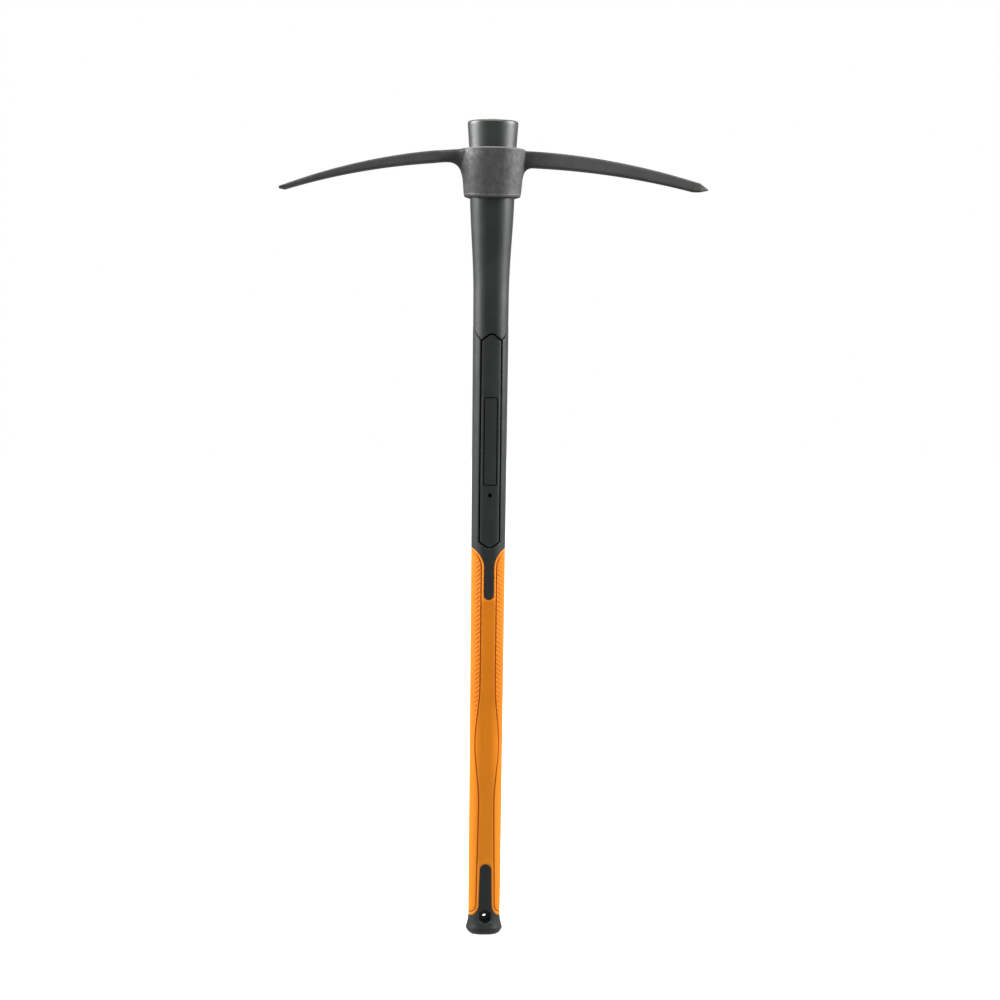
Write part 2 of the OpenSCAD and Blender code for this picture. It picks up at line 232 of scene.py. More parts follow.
def distance(s, z, outline):
    """Distance of each point to a closed outline, negative inside."""
    p = np.stack([s, z], axis=-1)
    best = np.full(len(s), 1e9)
    inside = np.zeros(len(s), bool)
    for a, b in zip(outline, outline[1:] + outline[:1]):
        a, b = np.array(a), np.array(b)
        edge = b - a
        t = np.clip((p - a) @ edge / max(edge @ edge, 1e-12), 0, 1)
        best = np.minimum(best, np.linalg.norm(p - a - t[:, None] * edge, axis=1))
        if a[1] != b[1]:
            crosses = (a[1] > p[:, 1]) != (b[1] > p[:, 1])
            inside ^= crosses & (p[:, 0] < a[0] + (p[:, 1] - a[1]) / (b[1] - a[1]) * edge[0])
    return np.where(inside, -best, best)


# Grip outlines
TONGUE_HALF = 5.4
TONGUE_L = 57.5
SHOULDER_H = 22.0
FOOT_HALF = 7.1
FOOT_END_HALF = 6.3
FOOT_L = 58.0
FOOT_SHOULDER_H = 13.5
FIELD_HALF = 8.4
FIELD_WIDE_HALF = 13.1
FIELD_WIDE_Z = GRIP_Z0 + 192.0
FIELD_WIDE_L = 66.0
SEAM_GAP = 3.0
SEAM_LOW_RISE = 4.2
GRIP_T = 2.2
PAST_SIDE = 60.0
PAST_END = 9.0
SHOULDER_STEPS = 28
END_STEPS = 14
FIELD_STEPS = 41


def top_shoulder(d):
    """Rounded upper shoulder of the sleeve from the side to the tongue, drawn in by d."""
    s1 = float(side(GRIP_Z1))
    inner = unwrap([(TONGUE_HALF + d, GRIP_Z1 - SHOULDER_H)])[0][0]
    return arc((s1, GRIP_Z1 - SHOULDER_H), s1 - inner, SHOULDER_H - d, 90, 180, SHOULDER_STEPS)


def top_edge(d):
    half = TONGUE_HALF + d
    end = arc((0, GRIP_Z1 - TONGUE_L + TONGUE_HALF), half, half, 0, -90, END_STEPS)
    return top_shoulder(d) + unwrap(end)


def low_shoulder(d, rise=None):
    """Rounded lower shoulder of the sleeve from side to tongue, drawn in by d and raised by rise."""
    half = FOOT_HALF + d
    centre = (GRIP_LOW_HALF, GRIP_Z0 + FOOT_SHOULDER_H)
    turn = arc(centre, GRIP_LOW_HALF - half, FOOT_SHOULDER_H - (rise or d), 270, 180, SHOULDER_STEPS)
    made = unwrap(turn)
    made[0] = (float(side(made[0][1])), made[0][1])
    return made


def low_edge(d):
    half = FOOT_END_HALF + d
    end = arc((0, GRIP_Z0 + FOOT_L - FOOT_END_HALF), half, half, 0, 90, END_STEPS)
    return low_shoulder(d) + unwrap(end)


def grip_outline(d=0.0):
    top = [(PAST_SIDE, GRIP_Z1 - d)] + top_edge(d)
    low = [(PAST_SIDE, GRIP_Z0 + d)] + low_edge(d)
    return top + flipped(top)[-2::-1] + flipped(low)[:-1] + low[::-1]


def field_line():
    """Right-hand seam, from the sleeve's lower shoulder to its upper one."""
    made = low_shoulder(SEAM_GAP, SEAM_LOW_RISE)
    middle = []
    for u in np.linspace(-1, 1, FIELD_STEPS):
        z = FIELD_WIDE_Z + FIELD_WIDE_L * u
        middle.append((mix(FIELD_HALF, FIELD_WIDE_HALF, math.cos(math.pi / 2 * u) ** 2), z))
    return made + unwrap(middle) + top_shoulder(SEAM_GAP)[::-1]


def field_outline():
    line = field_line()
    right = [(PAST_SIDE, GRIP_Z0 - PAST_END), (PAST_SIDE, line[0][1])] + line
    right += [(PAST_SIDE, line[-1][1]), (PAST_SIDE, GRIP_Z1 + PAST_END)]
    return right + flipped(right)[::-1]


# Shaft outlines
PANEL_HALF = 11.4
PANEL_POINT_H = 6.4
PANEL_APEX_RISE = 2.6
PANEL_LOW_R = 1.0
PANEL_HIGH_R = 0.8
PANEL_APEX_R = 5.0
PANEL_FOOT_R = 1.4
GROOVE_HALF = 0.95
PLATE_HALF = 7.2
PLATE_R = 1.6
PLATE_Z1 = SHAFT_Z1 - 69.0
PLATE_Z0 = PLATE_Z1 - 96.5
RIB_REACH = 4.0
PIN_Z = PLATE_Z0 - 11.0
PIN_R = 2.2
PIN_DEEP = 1.5
PIN_STEPS = 32
BEVEL_W = 1.6
NECK_EDGE_RISE = 12.0


def panel_outline():
    low, high = GRIP_Z1 + PANEL_POINT_H, SHAFT_Z1 - PANEL_POINT_H
    foot = 2 * GROOVE_HALF
    corners = [(PANEL_HALF, low), (PANEL_HALF, high), (0, SHAFT_Z1 + PANEL_APEX_RISE), (-PANEL_HALF, high),
               (-PANEL_HALF, low), (-foot, GRIP_Z1), (foot, GRIP_Z1)]
    sides = [PANEL_LOW_R, PANEL_HIGH_R]
    return rounded(corners, sides + [PANEL_APEX_R] + sides[::-1] + [PANEL_FOOT_R] * 2)


def plate_outline():
    right = [(PLATE_HALF, PLATE_Z0), (PLATE_HALF, PLATE_Z1)]
    return rounded(right + flipped(right)[::-1], [PLATE_R] * 4)


def pin_outline():
    return arc((0, PIN_Z), PIN_R, PIN_R, -180, 180, PIN_STEPS)[:-1]


PANEL = unwrap(panel_outline())
PLATE = unwrap(plate_outline())
PIN = unwrap(pin_outline())
GRIP = grip_outline()
FIELD = field_outline()
PANEL_CORNER_S, PANEL_CORNER_Z = unwrap([(PANEL_HALF, SHAFT_Z1 - PANEL_POINT_H)])[0]


def neck_edge(s, z):
    """Height of the line where the shaft's flank pads end and the neck begins."""
    t = (s - PANEL_CORNER_S) / (side(z) - PANEL_CORNER_S)
    return PANEL_CORNER_Z + np.maximum(t, 0) * (PANEL_POINT_H + NECK_EDGE_RISE)


# Surfaces: how far each point lies under the plain oval, and how deep it sits in a groove, as painted
# shade
NECK_BAND_LOW = 14.0
NECK_BAND_HIGH = 16.0
NECK_LINE_HALF = 0.7
NECK_LINE_DEEP = 0.55
STEP_W = 0.5
FAR = 9.0
GROOVE_DEEP = 2.4
LIP_W = 1.0
LIP_DEEP = 0.35
FACE_R = 45.0
FACE_EDGE = 0.05
PLATE_LINE_HALF = 0.7
PLATE_LINE_DEEP = 0.9
PLATE_LINE_SHADE = 0.8
RIB_H = 0.2
RIB_HALF = 1.3
RIB_OUT = 1.9
PIN_EDGE_W = 0.4
GRIP_EDGE_W = 0.7
GRIP_EDGE_DEEP = 0.3
GRIP_SHADE_W = 0.5
UNDER_GRIP = 0.06


def shoulder_relief(s, z, on_panel):
    """Flank pads that stand proud of the neck and end at a fine slanting line."""
    band = (z > SHAFT_Z1 - NECK_BAND_LOW) & (z < SHAFT_Z1 + NECK_BAND_HIGH)
    pad = np.interp(z, [GRIP_Z1, SHAFT_Z1, HANDLE_L], [GRIP_TOP_HALF, SHAFT_TOP_HALF, SHAFT_TOP_HALF])
    neck = NECK_HALF + NECK_SLOPE * (z - SHAFT_Z1)
    over = z - neck_edge(s, z)
    above = soft_step(over, STEP_W) * (on_panel > 0)
    drop = np.where(band, half_width(z) - mix(pad, neck, above), 0)
    slant = (PANEL_POINT_H + NECK_EDGE_RISE) / (side(z) - PANEL_CORNER_S)
    across = np.where(band & (s > PANEL_CORNER_S), over / np.sqrt(1 + slant**2), FAR)
    line = dip(across, NECK_LINE_HALF)
    return drop + NECK_LINE_DEEP * line, line


def panel_relief(s, z, on_panel):
    """Groove round the panel with a soft lip outside it, and the panel's flattened face."""
    groove = dip(on_panel, GROOVE_HALF)
    lip = np.clip(1 - (on_panel - GROOVE_HALF) / LIP_W, 0, 1) * (on_panel > GROOVE_HALF)
    r = half_width(z) - FLAT_HALF
    a = np.maximum(s - FLAT_HALF, 0) / r
    x = np.minimum(s, FLAT_HALF) + r * np.sin(a)
    edge_x = PANEL_HALF - GROOVE_HALF - BEVEL_W
    edge_y = r * np.sqrt(1 - ((edge_x - FLAT_HALF) / r) ** 2)
    face_y = edge_y + np.sqrt(FACE_R**2 - np.minimum(x, edge_x) ** 2) - math.sqrt(FACE_R**2 - edge_x**2)
    sunk = np.where(x < edge_x, (r * np.cos(a) - face_y) * np.cos(a), 0)
    face = sunk * soft_step(FACE_EDGE - on_panel - GROOVE_HALF - BEVEL_W, STEP_W)
    return GROOVE_DEEP * groove + LIP_DEEP * lip**2 + face, groove


def plate_relief(s, z):
    """Fine line round the plate, with a low rib outside it along the sides and the foot."""
    on_plate = distance(s, z, PLATE)
    line = dip(on_plate, PLATE_LINE_HALF)
    beside = (z > PLATE_Z0 - RIB_REACH) & (z < PLATE_Z1) & (on_plate > 0)
    rib = np.where(beside, RIB_H * dip(on_plate - RIB_OUT, RIB_HALF), 0)
    return PLATE_LINE_DEEP * line - rib, PLATE_LINE_SHADE * line


def pin_relief(s, z):
    hole = soft_step(-distance(s, z, PIN), PIN_EDGE_W)
    return PIN_DEEP * hole, hole


def jacket_relief(s, z):
    on_panel = distance(s, z, PANEL)
    forms = [shoulder_relief(s, z, on_panel), panel_relief(s, z, on_panel)]
    forms += [plate_relief(s, z), pin_relief(s, z)]
    off_grip = distance(s, z, GRIP)
    edge = np.where(off_grip > 0, np.clip(1 - off_grip / GRIP_EDGE_W, 0, 1), 0)
    forms.append((GRIP_EDGE_DEEP * edge**2, np.clip(1 - np.abs(off_grip) / GRIP_SHADE_W, 0, 1)))
    drops, shades = zip(*forms)
    # Painted shade: each form darkens its grooves, lines, the pin hole and the sleeve's edge, and the
    # strongest wins
    return np.where(off_grip < -UNDER_GRIP, GRIP_T, sum(drops)), np.maximum.reduce(shades)


ZIGZAG_W = 12.0
ZIGZAG_H = 4.95
ZIGZAG_SWING = 2.4
ZIGZAG_DEEP = 0.5
ZIGZAG_FAINT = 0.14
ZIGZAG_LOW_Z = 190.0
ZIGZAG_FULL_Z = 280.0
ZIGZAG_SIDE_FADE = 0.7
SEAM_HALF = 0.9
SEAM_DEEP = 0.9
SEAM_SIDE_SHARE = 0.35
BEAD_IN = 1.9
BEAD_HALF = 1.0
BEAD_H = 0.45
BEAD_FIELD_H = 0.16
BEAD_REACH = 6.0
EDGE_FLAT = 2.75
EDGE_FADE = 1.5
RIM_LIP_W = 0.8
RIM_LIP_DEEP = 0.38
FRONT_SHARE = 0.6
FRONT_FADE = 0.3
SEAM_FADE = 0.5
FIELD_DEEP = 0.42
FIELD_CROWN = 0.6
ZIGZAG_SHADE = 0.4
EDGE_SHADE = 0.7
EDGE_SHADE_W = 0.35
# Painted highlight on the bead's crest: its share away from the edge, and the shade below which it is
# painted
BEAD_HIGHLIGHT = 0.4
HIGHLIGHT_SHADE_LIMIT = 0.05


def zigzag(s, z):
    """Rows of zigzag ridges: 0 on the crest of a ridge, 1 in the hollow between two."""
    swing = np.abs(np.mod(s / ZIGZAG_W, 1) - 0.5) * 4 - 1
    return np.abs(np.sin(math.pi * (z + ZIGZAG_SWING * swing) / ZIGZAG_H))


def sleeve_relief(s, z):
    """Lip, bead, seam, zigzag ridges and sunk middle field, with painted shade in the seam, hollows and
    edge, and a painted highlight on the bead's crest as negative values.
    """
    in_grip = -distance(s, z, GRIP)
    past_seam = distance(s, z, FIELD)
    inside = smoothstep((in_grip - EDGE_FLAT) / EDGE_FADE)

    lip = np.clip(1 - (in_grip - MOULD_GAP) / RIM_LIP_W, 0, 1)
    front = 1 - smoothstep((s / side(z) - FRONT_SHARE) / FRONT_FADE)
    bead = front * dip(past_seam + BEAD_IN, BEAD_HALF) ** 2
    by_edge = smoothstep(1 - (in_grip - SEAM_GAP) / BEAD_REACH)
    drop = RIM_LIP_DEEP * lip**2 - mix(BEAD_FIELD_H, BEAD_H, by_edge) * bead
    seam = dip(past_seam, SEAM_HALF)
    drop += SEAM_DEEP * mix(SEAM_SIDE_SHARE, 1, front) * seam

    upper = smoothstep((z - ZIGZAG_LOW_Z) / (ZIGZAG_FULL_Z - ZIGZAG_LOW_Z))
    strength = mix(ZIGZAG_FAINT, ZIGZAG_DEEP, upper) * (1 - ZIGZAG_SIDE_FADE * (1 - front))
    hollow = smoothstep((past_seam - SEAM_HALF) / SEAM_FADE) * inside * zigzag(side(z) - s, z)
    drop += strength * hollow

    a = np.maximum(s - FLAT_HALF, 0) / (half_width(z) - FLAT_HALF)
    across = np.clip(np.maximum(s, 0) / np.maximum(s - past_seam, 1), 0, 1)
    field = smoothstep((-past_seam - SEAM_HALF) / EDGE_FADE) * inside
    drop += FIELD_DEEP * field * (1 - FIELD_CROWN * across**2) * np.cos(a)
    # Painted shade in the seam, the ridges' hollows and along the edge; painted highlight, as negative
    # values, on the bead's crest
    painted_shading = np.maximum(seam, ZIGZAG_SHADE * hollow * strength / ZIGZAG_DEEP)
    painted_shading = np.maximum(painted_shading, EDGE_SHADE * np.clip(1 - (in_grip - MOULD_GAP) / EDGE_SHADE_W, 0, 1))
    return drop, painted_shading - mix(BEAD_HIGHLIGHT, 1, by_edge) * bead * (painted_shading < HIGHLIGHT_SHADE_LIMIT)


def bore_relief(s, z):
    """The sleeve's inside, which lies just off the jacket."""
    return np.full(len(s), GRIP_T - MOULD_GAP), 1.0


# Meshes


def triangulated(outline, lines, grid, keep_off):
    """Triangles inside an outline, with edges along the lines and corners at the grid's points."""
    points, edges = [], []
    for line in [outline + outline[:1]] + lines:
        start = len(points)
        points += line
        edges += [(start + k, start + k + 1) for k in range(len(line) - 1)]
    fixed = np.array(points)
    loose = np.array(grid)
    near = np.zeros(len(loose), bool)
    order = np.argsort(fixed[:, 1])
    heights = fixed[order, 1]
    for k, (s, z) in enumerate(loose):
        lo, hi = np.searchsorted(heights, [z - keep_off, z + keep_off])
        close = fixed[order[lo:hi]]
        near[k] = len(close) and np.min(np.hypot(close[:, 0] - s, close[:, 1] - z)) < keep_off
    loose = loose[~near & (distance(loose[:, 0], loose[:, 1], outline) < -keep_off / 2)]
    points = [Vector(p) for p in points] + [Vector(p) for p in loose]
    coords, _, faces, _, _, _ = geometry.delaunay_2d_cdt(points, edges, [], 0, 1e-4)
    flat = np.array([tuple(c) for c in coords])
    tris = np.array(faces)
    middle = flat[tris].mean(axis=1)
    return flat, tris[distance(middle[:, 0], middle[:, 1], outline) < 0]


class Quarter:
    """Points and faces of a quarter of a mesh that is the same on all four sides."""

    def __init__(self):
        self.points, self.faces, self.painted_shading = [], [], []

    def add(self, points, painted_shading=0.0):
        start = len(self.points)
        self.points += [tuple(p) for p in points]
        self.painted_shading += list(np.broadcast_to(painted_shading, len(points)))
        return list(range(start, start + len(points)))

    def cover(self, outline, lines, grid, keep_off, relief, turn=1):
        """Skin inside an outline on the handle, sunk by the relief, facing inwards where turn is -1."""
        flat, tris = triangulated(outline, lines, grid, keep_off)
        s, z = flat.T
        drop, painted_shading = relief(s, z)
        made = self.add(skin(s, z, drop), painted_shading)
        self.faces += [tuple(made[i] for i in tri[::turn]) for tri in tris.tolist()]
        return flat, tris, made

    def stack(self, rings, shades=None):
        """Rings of points, with faces between each ring and the next."""
        made = [self.add(ring, shade) for ring, shade in zip(rings, shades or [0.0] * len(rings))]
        for a, b in zip(made, made[1:]):
            for k in range(len(a) - 1):
                self.faces.append((a[k], a[k + 1], b[k + 1], b[k]))

    def whole(self):
        """Points, faces and painted shading of the four mirrored quarters, joined where they meet."""
        quarter = np.array(self.points)
        points, faces = [], []
        for sx, sy in ((1, 1), (-1, 1), (1, -1), (-1, -1)):
            start = len(points) * len(quarter)
            points.append(quarter * (sx, sy, 1))
            turn = 1 if sx * sy > 0 else -1
            faces += [tuple(start + i for i in face[::turn]) for face in self.faces]
        points = np.round(np.concatenate(points), 3) + 0.0
        points, first, same = np.unique(points, axis=0, return_index=True, return_inverse=True)
        same = same.ravel()
        painted_shading = np.tile(self.painted_shading, 4)[first]
        joined = []
        for face in faces:
            face = [int(same[i]) for i in face]
            face = [i for k, i in enumerate(face) if i != face[k - 1]]
            if len(face) > 2:
                joined.append(face)
        return points, joined, painted_shading


def point_values(mesh, name, values):
    mesh.attributes.new(name, "FLOAT", "POINT").data.foreach_set("value", np.asarray(values, float))


def linked(name, data):
    made = bpy.data.objects.new(name, data)
    bpy.context.scene.collection.objects.link(made)
    return made


def placed(mesh, name, sharp):
    """Smooth object of a mesh, creased where faces meet at more than sharp degrees."""
    mesh.update()
    mesh.shade_smooth()
    mesh.set_sharp_from_angle(angle=math.radians(sharp))
    return linked(name, mesh)


def mesh_object(name, points, faces, painted_shading=None):
    mesh = bpy.data.meshes.new(name)
    mesh.from_pydata((np.asarray(points) * MM).tolist(), [], faces)
    # Painted shading: darker colour where shade falls in grooves, lines and recesses, lighter where the
    # sleeve's bead catches the light
    if painted_shading is not None:
        point_values(mesh, "painted_shading", painted_shading)
    return placed(mesh, name, 40)


def oval_ring(half, flat, z, n):
    """Quarter of an oval section from the front's middle to the side's middle."""
    r = half - flat
    side_s = flat + r * math.pi / 2
    s = np.linspace(0, 1, n + 1) * side_s
    a = np.maximum(s - flat, 0) / r
    return np.stack([np.minimum(s, flat) + r * np.sin(a), -r * np.cos(a), np.full(n + 1, z)], axis=-1)


def drawn_in(ring):
    """A ring drawn together on the axis, to close a stack of rings."""
    return ring * (0, 0, 1)


# Jacket
RING_N = 24
CROWN_RINGS = 7
CROWN_FLAT_W = 4.0
BORE_EDGE = 0.5
BUTT_RINGS = 13
HEX_W = 13.6
HEX_STEP_W = 9.8
HEX_FLOOR_Y = 11.2
HEX_STEP_Y = 6.0
HEX_BEVEL = 0.8
HEX_BEVEL_DEEP = 0.9
HEX_CLEAR = 0.5
HEX_SHADES = (0, 0, 0.7, 0.6, 0.2, 0.2, 1)
HALF_TURN = np.radians(np.arange(-90, 91, 5))
HOLE_Z = HANG_HOLE["pos_m"][2] / MM
HOLE_R = HANG_HOLE["dims"]["r_mm"]

# Rows of points up the jacket (from, to, step), closer together where the relief is finer
ROW_BANDS = ((KNOB_WIDE_Z, GRIP_Z0 + 16, 1.4), (GRIP_Z0 + 18, GRIP_Z1 - 24, 4.0),
             (GRIP_Z1 - 24, SHAFT_Z1 - 10, 2.5), (SHAFT_Z1 - 10, SHAFT_Z1 + 16, 1.2),
             (SHAFT_Z1 + 18, EYE_Z1, 3.0))
CROWN_ROWS = 11

# Distances from each outline of the lines that the triangles follow
PANEL_LINES = (-3.1, -2.6, -2.1, -1.15, -0.85, -0.5, 0, 0.5, 0.85, 1.0, 1.3, 1.6, 2.0)
PLATE_LINES = (-1.2, -0.7, -0.35, 0, 0.35, 0.7, 1.2, 1.9, 2.6)
PIN_LINES = (-0.6, -0.2, 0.2, 0.7)
NECK_LINES = (-1.35, -0.675, 0, 0.675, 1.35)
EDGE_LINES = (-1.0, -0.6, -0.25, 0, 0.15)
LINE_STEP = 2.4
JACKET_KEEP_OFF = 0.75

CROWN_MATERIAL = 1
CROWN_DROP = 10.0
# Painted shade: groove faces whose painted shading passes this limit get a near-black material
GROOVE_SHADE_MATERIAL = 2
GROOVE_SHADE_LIMIT = 0.54
GROOVE_CLEAR = 1.0


def hex_ring(width):
    """Right half of a hexagon with a corner upwards, in the front view, from its foot to its top."""
    made = []
    for a in HALF_TURN:
        turn = a - math.radians(60) * round(math.degrees(a) / 60)
        r = width / 2 / math.cos(turn)
        made.append((r * math.cos(a), HOLE_Z + r * math.sin(a)))
    for k in (0, -1):
        made[k] = (0.0, made[k][1])
    return made


def neck_line(rise):
    """The slanting line between flank pad and neck, raised by rise."""
    made = []
    for t in np.linspace(0.12, 1, 14):
        z = PANEL_CORNER_Z + t * (PANEL_POINT_H + NECK_EDGE_RISE) + rise
        made.append((mix(PANEL_CORNER_S, float(side(z)), t), z))
    return made


def jacket_lines():
    lines = [spaced(right_half(grown(PANEL, d)), LINE_STEP) for d in PANEL_LINES]
    lines += [spaced(right_half(grown(PLATE, d)), LINE_STEP) for d in PLATE_LINES]
    lines += [right_half(grown(PIN, d)) for d in PIN_LINES]
    lines += [neck_line(rise) for rise in NECK_LINES]
    return lines + [spaced(edge(d), LINE_STEP) for edge in (top_edge, low_edge) for d in EDGE_LINES]


def jacket_skin(quarter, hexagon):
    """Moulded outside from the knob's widest line to the crown, open at the recess."""
    crown_z = HANDLE_L - CROWN_R
    rows = [z for band in ROW_BANDS for z in np.arange(*band)]
    rows += [*np.linspace(EYE_Z1, crown_z, CROWN_ROWS)]
    clear = [z for z in rows if z < hexagon[0][1] - HEX_CLEAR or z > hexagon[-1][1] + HEX_CLEAR]
    foot = [(0.0, z) for z in clear if z < HOLE_Z]
    upper = [(0.0, z) for z in clear if z > HOLE_Z]
    share = np.linspace(0, 1, RING_N + 1)

    outline = [(float(side(KNOB_WIDE_Z)) * f, KNOB_WIDE_Z) for f in share]
    outline += [(float(side(z)), z) for z in rows[1:-1]]
    outline += [(float(side(crown_z)) * f, crown_z) for f in share[::-1]]
    outline += upper[-2::-1] + hexagon[::-1] + foot[:0:-1]
    grid = [(float(side(z)) * f, z) for z in rows[1:-1] for f in share[1:-1]]
    quarter.cover(outline, jacket_lines(), grid, JACKET_KEEP_OFF, jacket_relief)


def jacket_crown(quarter):
    """Rounded upper edge, flat top and the bore that holds the core."""
    rings = []
    for a in np.radians(np.linspace(0, 90, CROWN_RINGS)):
        half = CROWN_HALF - CROWN_R + CROWN_R * math.cos(a)
        rings.append(oval_ring(half, FLAT_HALF, HANDLE_L - CROWN_R + CROWN_R * math.sin(a), RING_N))
    bore_r = CORE_R + CORE_GAP
    for r, z in ((bore_r + CROWN_FLAT_W, HANDLE_L), (bore_r + BORE_EDGE, HANDLE_L),
                 (bore_r, HANDLE_L - BORE_EDGE), (bore_r, CORE_LOW.z)):
        rings.append(oval_ring(r, 0, z, RING_N))
    quarter.stack(rings + [drawn_in(rings[-1])])


def jacket_butt(quarter):
    """Flat foot and rounded lower edge."""
    rings = []
    for t in np.linspace(0, 1, BUTT_RINGS):
        share = (1 - (1 - t) ** KNOB_FOOT_POWER) ** (1 / KNOB_FOOT_POWER)
        rings.append(oval_ring(mix(BUTT_HALF, KNOB_HALF, share), FLAT_HALF, KNOB_WIDE_Z * t, RING_N))
    quarter.stack([drawn_in(rings[0])] + rings)


def jacket_recess(quarter, hexagon):
    """Hexagonal recess with a ledge inside it, and the hang hole."""
    def flat_ring(outline, y):
        return [(x, -y, z) for x, z in outline]

    s, z = np.array(hexagon).T
    rim = skin(s, z, jacket_relief(s, z)[0])
    mouth = hex_ring(HEX_W)
    s, z = np.array(unwrap(mouth)).T
    lip = skin(s, z, np.full(len(s), HEX_BEVEL_DEEP))
    ledge = hex_ring(HEX_STEP_W)
    hole = [(HOLE_R * math.cos(a), HOLE_Z + HOLE_R * math.sin(a)) for a in HALF_TURN]
    rings = [rim, lip, flat_ring(mouth, HEX_FLOOR_Y), flat_ring(ledge, HEX_FLOOR_Y),
             flat_ring(ledge, HEX_STEP_Y), flat_ring(hole, HEX_STEP_Y), flat_ring(hole, 0)]
    quarter.stack(rings, HEX_SHADES)


def share_materials(jacket):
    """Gives the crown a material of its own, and the bottoms of the shaft's grooves a near-black material
    of painted shade.
    """
    painted_shading = np.empty(len(jacket.data.vertices))
    jacket.data.attributes["painted_shading"].data.foreach_get("value", painted_shading)
    for face in jacket.data.polygons:
        z = face.center.z / MM
        if z > EYE_Z1 - CROWN_DROP:
            face.material_index = CROWN_MATERIAL
        elif z > GRIP_Z1 + GROOVE_CLEAR and painted_shading[list(face.vertices)].mean() > GROOVE_SHADE_LIMIT:
            face.material_index = GROOVE_SHADE_MATERIAL


def build_jacket():
    quarter = Quarter()
    hexagon = unwrap(hex_ring(HEX_W + 2 * HEX_BEVEL))
    jacket_skin(quarter, hexagon)
    jacket_crown(quarter)
    jacket_butt(quarter)
    jacket_recess(quarter, hexagon)
    made = mesh_object("jacket_body", *quarter.whole())
    share_materials(made)
    return made


# Sleeve
RIM_STEP = 1.5
RIM_LINES = (0.3, 0.75)
SEAM_LINES = (-1.9, -1.45, -1.0, -0.7, -0.35, 0, 0.35, 0.7, 1.0)
SEAM_STEP = 1.8
FLANK_ROW = 0.9
FLANK_STEP = 0.8
FLANK_W = 24.0
FIELD_ROW = 2.5
FIELD_STEP = 1.5
FIELD_W = 13.5
FIELD_CLEAR = 1.0
SLEEVE_KEEP_OFF = 0.55
INNER_ROWS = 3
INNER_SHARES = np.linspace(0.2, 0.9, 5)


def moved(line, d):
    """An open line moved by d to its right, with its ends put back on the middle of the side."""
    made = []
    for i, p in enumerate(line):
        a = Vector(line[max(i - 1, 0)])
        b = Vector(line[min(i + 1, len(line) - 1)])
        along = (b - a).normalized()
        made.append((p[0] + along.y * d, p[1] - along.x * d))
    for k in (0, -1):
        made[k] = (float(side(made[k][1])), made[k][1])
    return made


def sleeve_grid(flank_rows, field_rows):
    """Points on the sleeve, closer together on the ridged flanks than on the middle field."""
    steps = np.arange(FLANK_STEP, FLANK_W, FLANK_STEP)
    flank = [(float(side(z)) - t, z) for z in flank_rows for t in steps]
    flank = [p for p in flank if p[0] > 0]
    field = [(s, z) for z in field_rows for s in np.arange(FIELD_STEP, FIELD_W, FIELD_STEP)]
    made = [p for p, d in zip(flank, distance(*np.array(flank).T, FIELD)) if d > FLANK_STEP]
    return made + [p for p, d in zip(field, distance(*np.array(field).T, FIELD)) if d < -FIELD_CLEAR]


def close_rim(quarter, flat, tris, inner_flat, inner):
    """Faces between the outer and the inner skin along the sleeve's own edges."""
    def key(p):
        return tuple(np.round(p, 4))

    twin = {key(p): inner[k] for k, p in enumerate(inner_flat)}
    used = dict.fromkeys(edge for tri in tris.tolist() for edge in zip(tri, tri[1:] + tri[:1]))
    for a, b in used:
        if (b, a) in used:
            continue
        pa, pb = flat[a], flat[b]
        on_middle = pa[0] < 1e-6 and pb[0] < 1e-6
        on_side = side(pa[1]) - pa[0] < 1e-3 and side(pb[1]) - pb[0] < 1e-3
        if not (on_middle or on_side):
            quarter.faces.append((b, a, twin[key(pa)], twin[key(pb)]))


def build_sleeve():
    quarter = Quarter()
    top = spaced(top_edge(MOULD_GAP), RIM_STEP)
    low = spaced(low_edge(MOULD_GAP), RIM_STEP)
    field_rows = np.arange(low[-1][1], top[-1][1], FIELD_ROW)[1:-1]
    flank_rows = np.arange(low[0][1], top[0][1], FLANK_ROW)[1:-1]
    outline = top + [(0.0, z) for z in field_rows[::-1]]
    outline += low[::-1] + [(float(side(z)), z) for z in flank_rows]
    lines = [spaced(moved(field_line(), d), SEAM_STEP) for d in SEAM_LINES]
    for edge in (top_edge, low_edge):
        lines += [spaced(edge(d), RIM_STEP) for d in RIM_LINES]
    grid = sleeve_grid(flank_rows, field_rows)
    coarse = [(float(side(z)) * f, z) for z in field_rows[::INNER_ROWS] for f in INNER_SHARES]
    flat, tris, _ = quarter.cover(outline, lines, grid, SLEEVE_KEEP_OFF, sleeve_relief)
    inner_flat, _, inner = quarter.cover(outline, [], coarse, SLEEVE_KEEP_OFF, bore_relief, -1)
    close_rim(quarter, flat, tris, inner_flat, inner)
    return mesh_object("grip_body", *quarter.whole())


# Head
COLLAR_LOW_T = 6.4
COLLAR_TOP_T = 10.0
COLLAR_BOW = 2.2
COLLAR_FALL = 0.5
COLLAR_TOP_SINK = 1.3
COLLAR_FLAT = FLAT_HALF + 3.0
EYE_GAP = 0.3
ARM_SINK = 5.0
ARM_TAPER = 1.4
ARM_ROUND = 2.0
ROOT_NARROWING = 0.5
FILLET_RINGS = 13
ARM_RINGS = 33

CHISEL = {"sweep": 688.0, "apex": 0.0, "drop": 8.1, "root_h": 12.9, "tip_h": 4.9, "root_w": 22.0,
          "tip_w": 27.0, "grow": 2.0, "fillet": 15.0, "flare": 6.0, "reach": -HEAD_LOW.x, "end_l": 7.0}
POINT = {"sweep": 818.0, "apex": 16.0, "drop": 12.0, "root_h": 17.1, "tip_h": 11.7, "root_w": 22.0,
         "tip_w": 11.0, "grow": 1.0, "fillet": 12.0, "flare": 0.0, "reach": HEAD_HIGH.x, "end_l": 17.3}
CHISEL_EDGE_T = 0.9
POINT_SHOULDER_L = 9.7
POINT_SHOULDER_HALF = 4.4
POINT_TIP_HALF = 0.7
POINT_TIP_RISE = 1.4


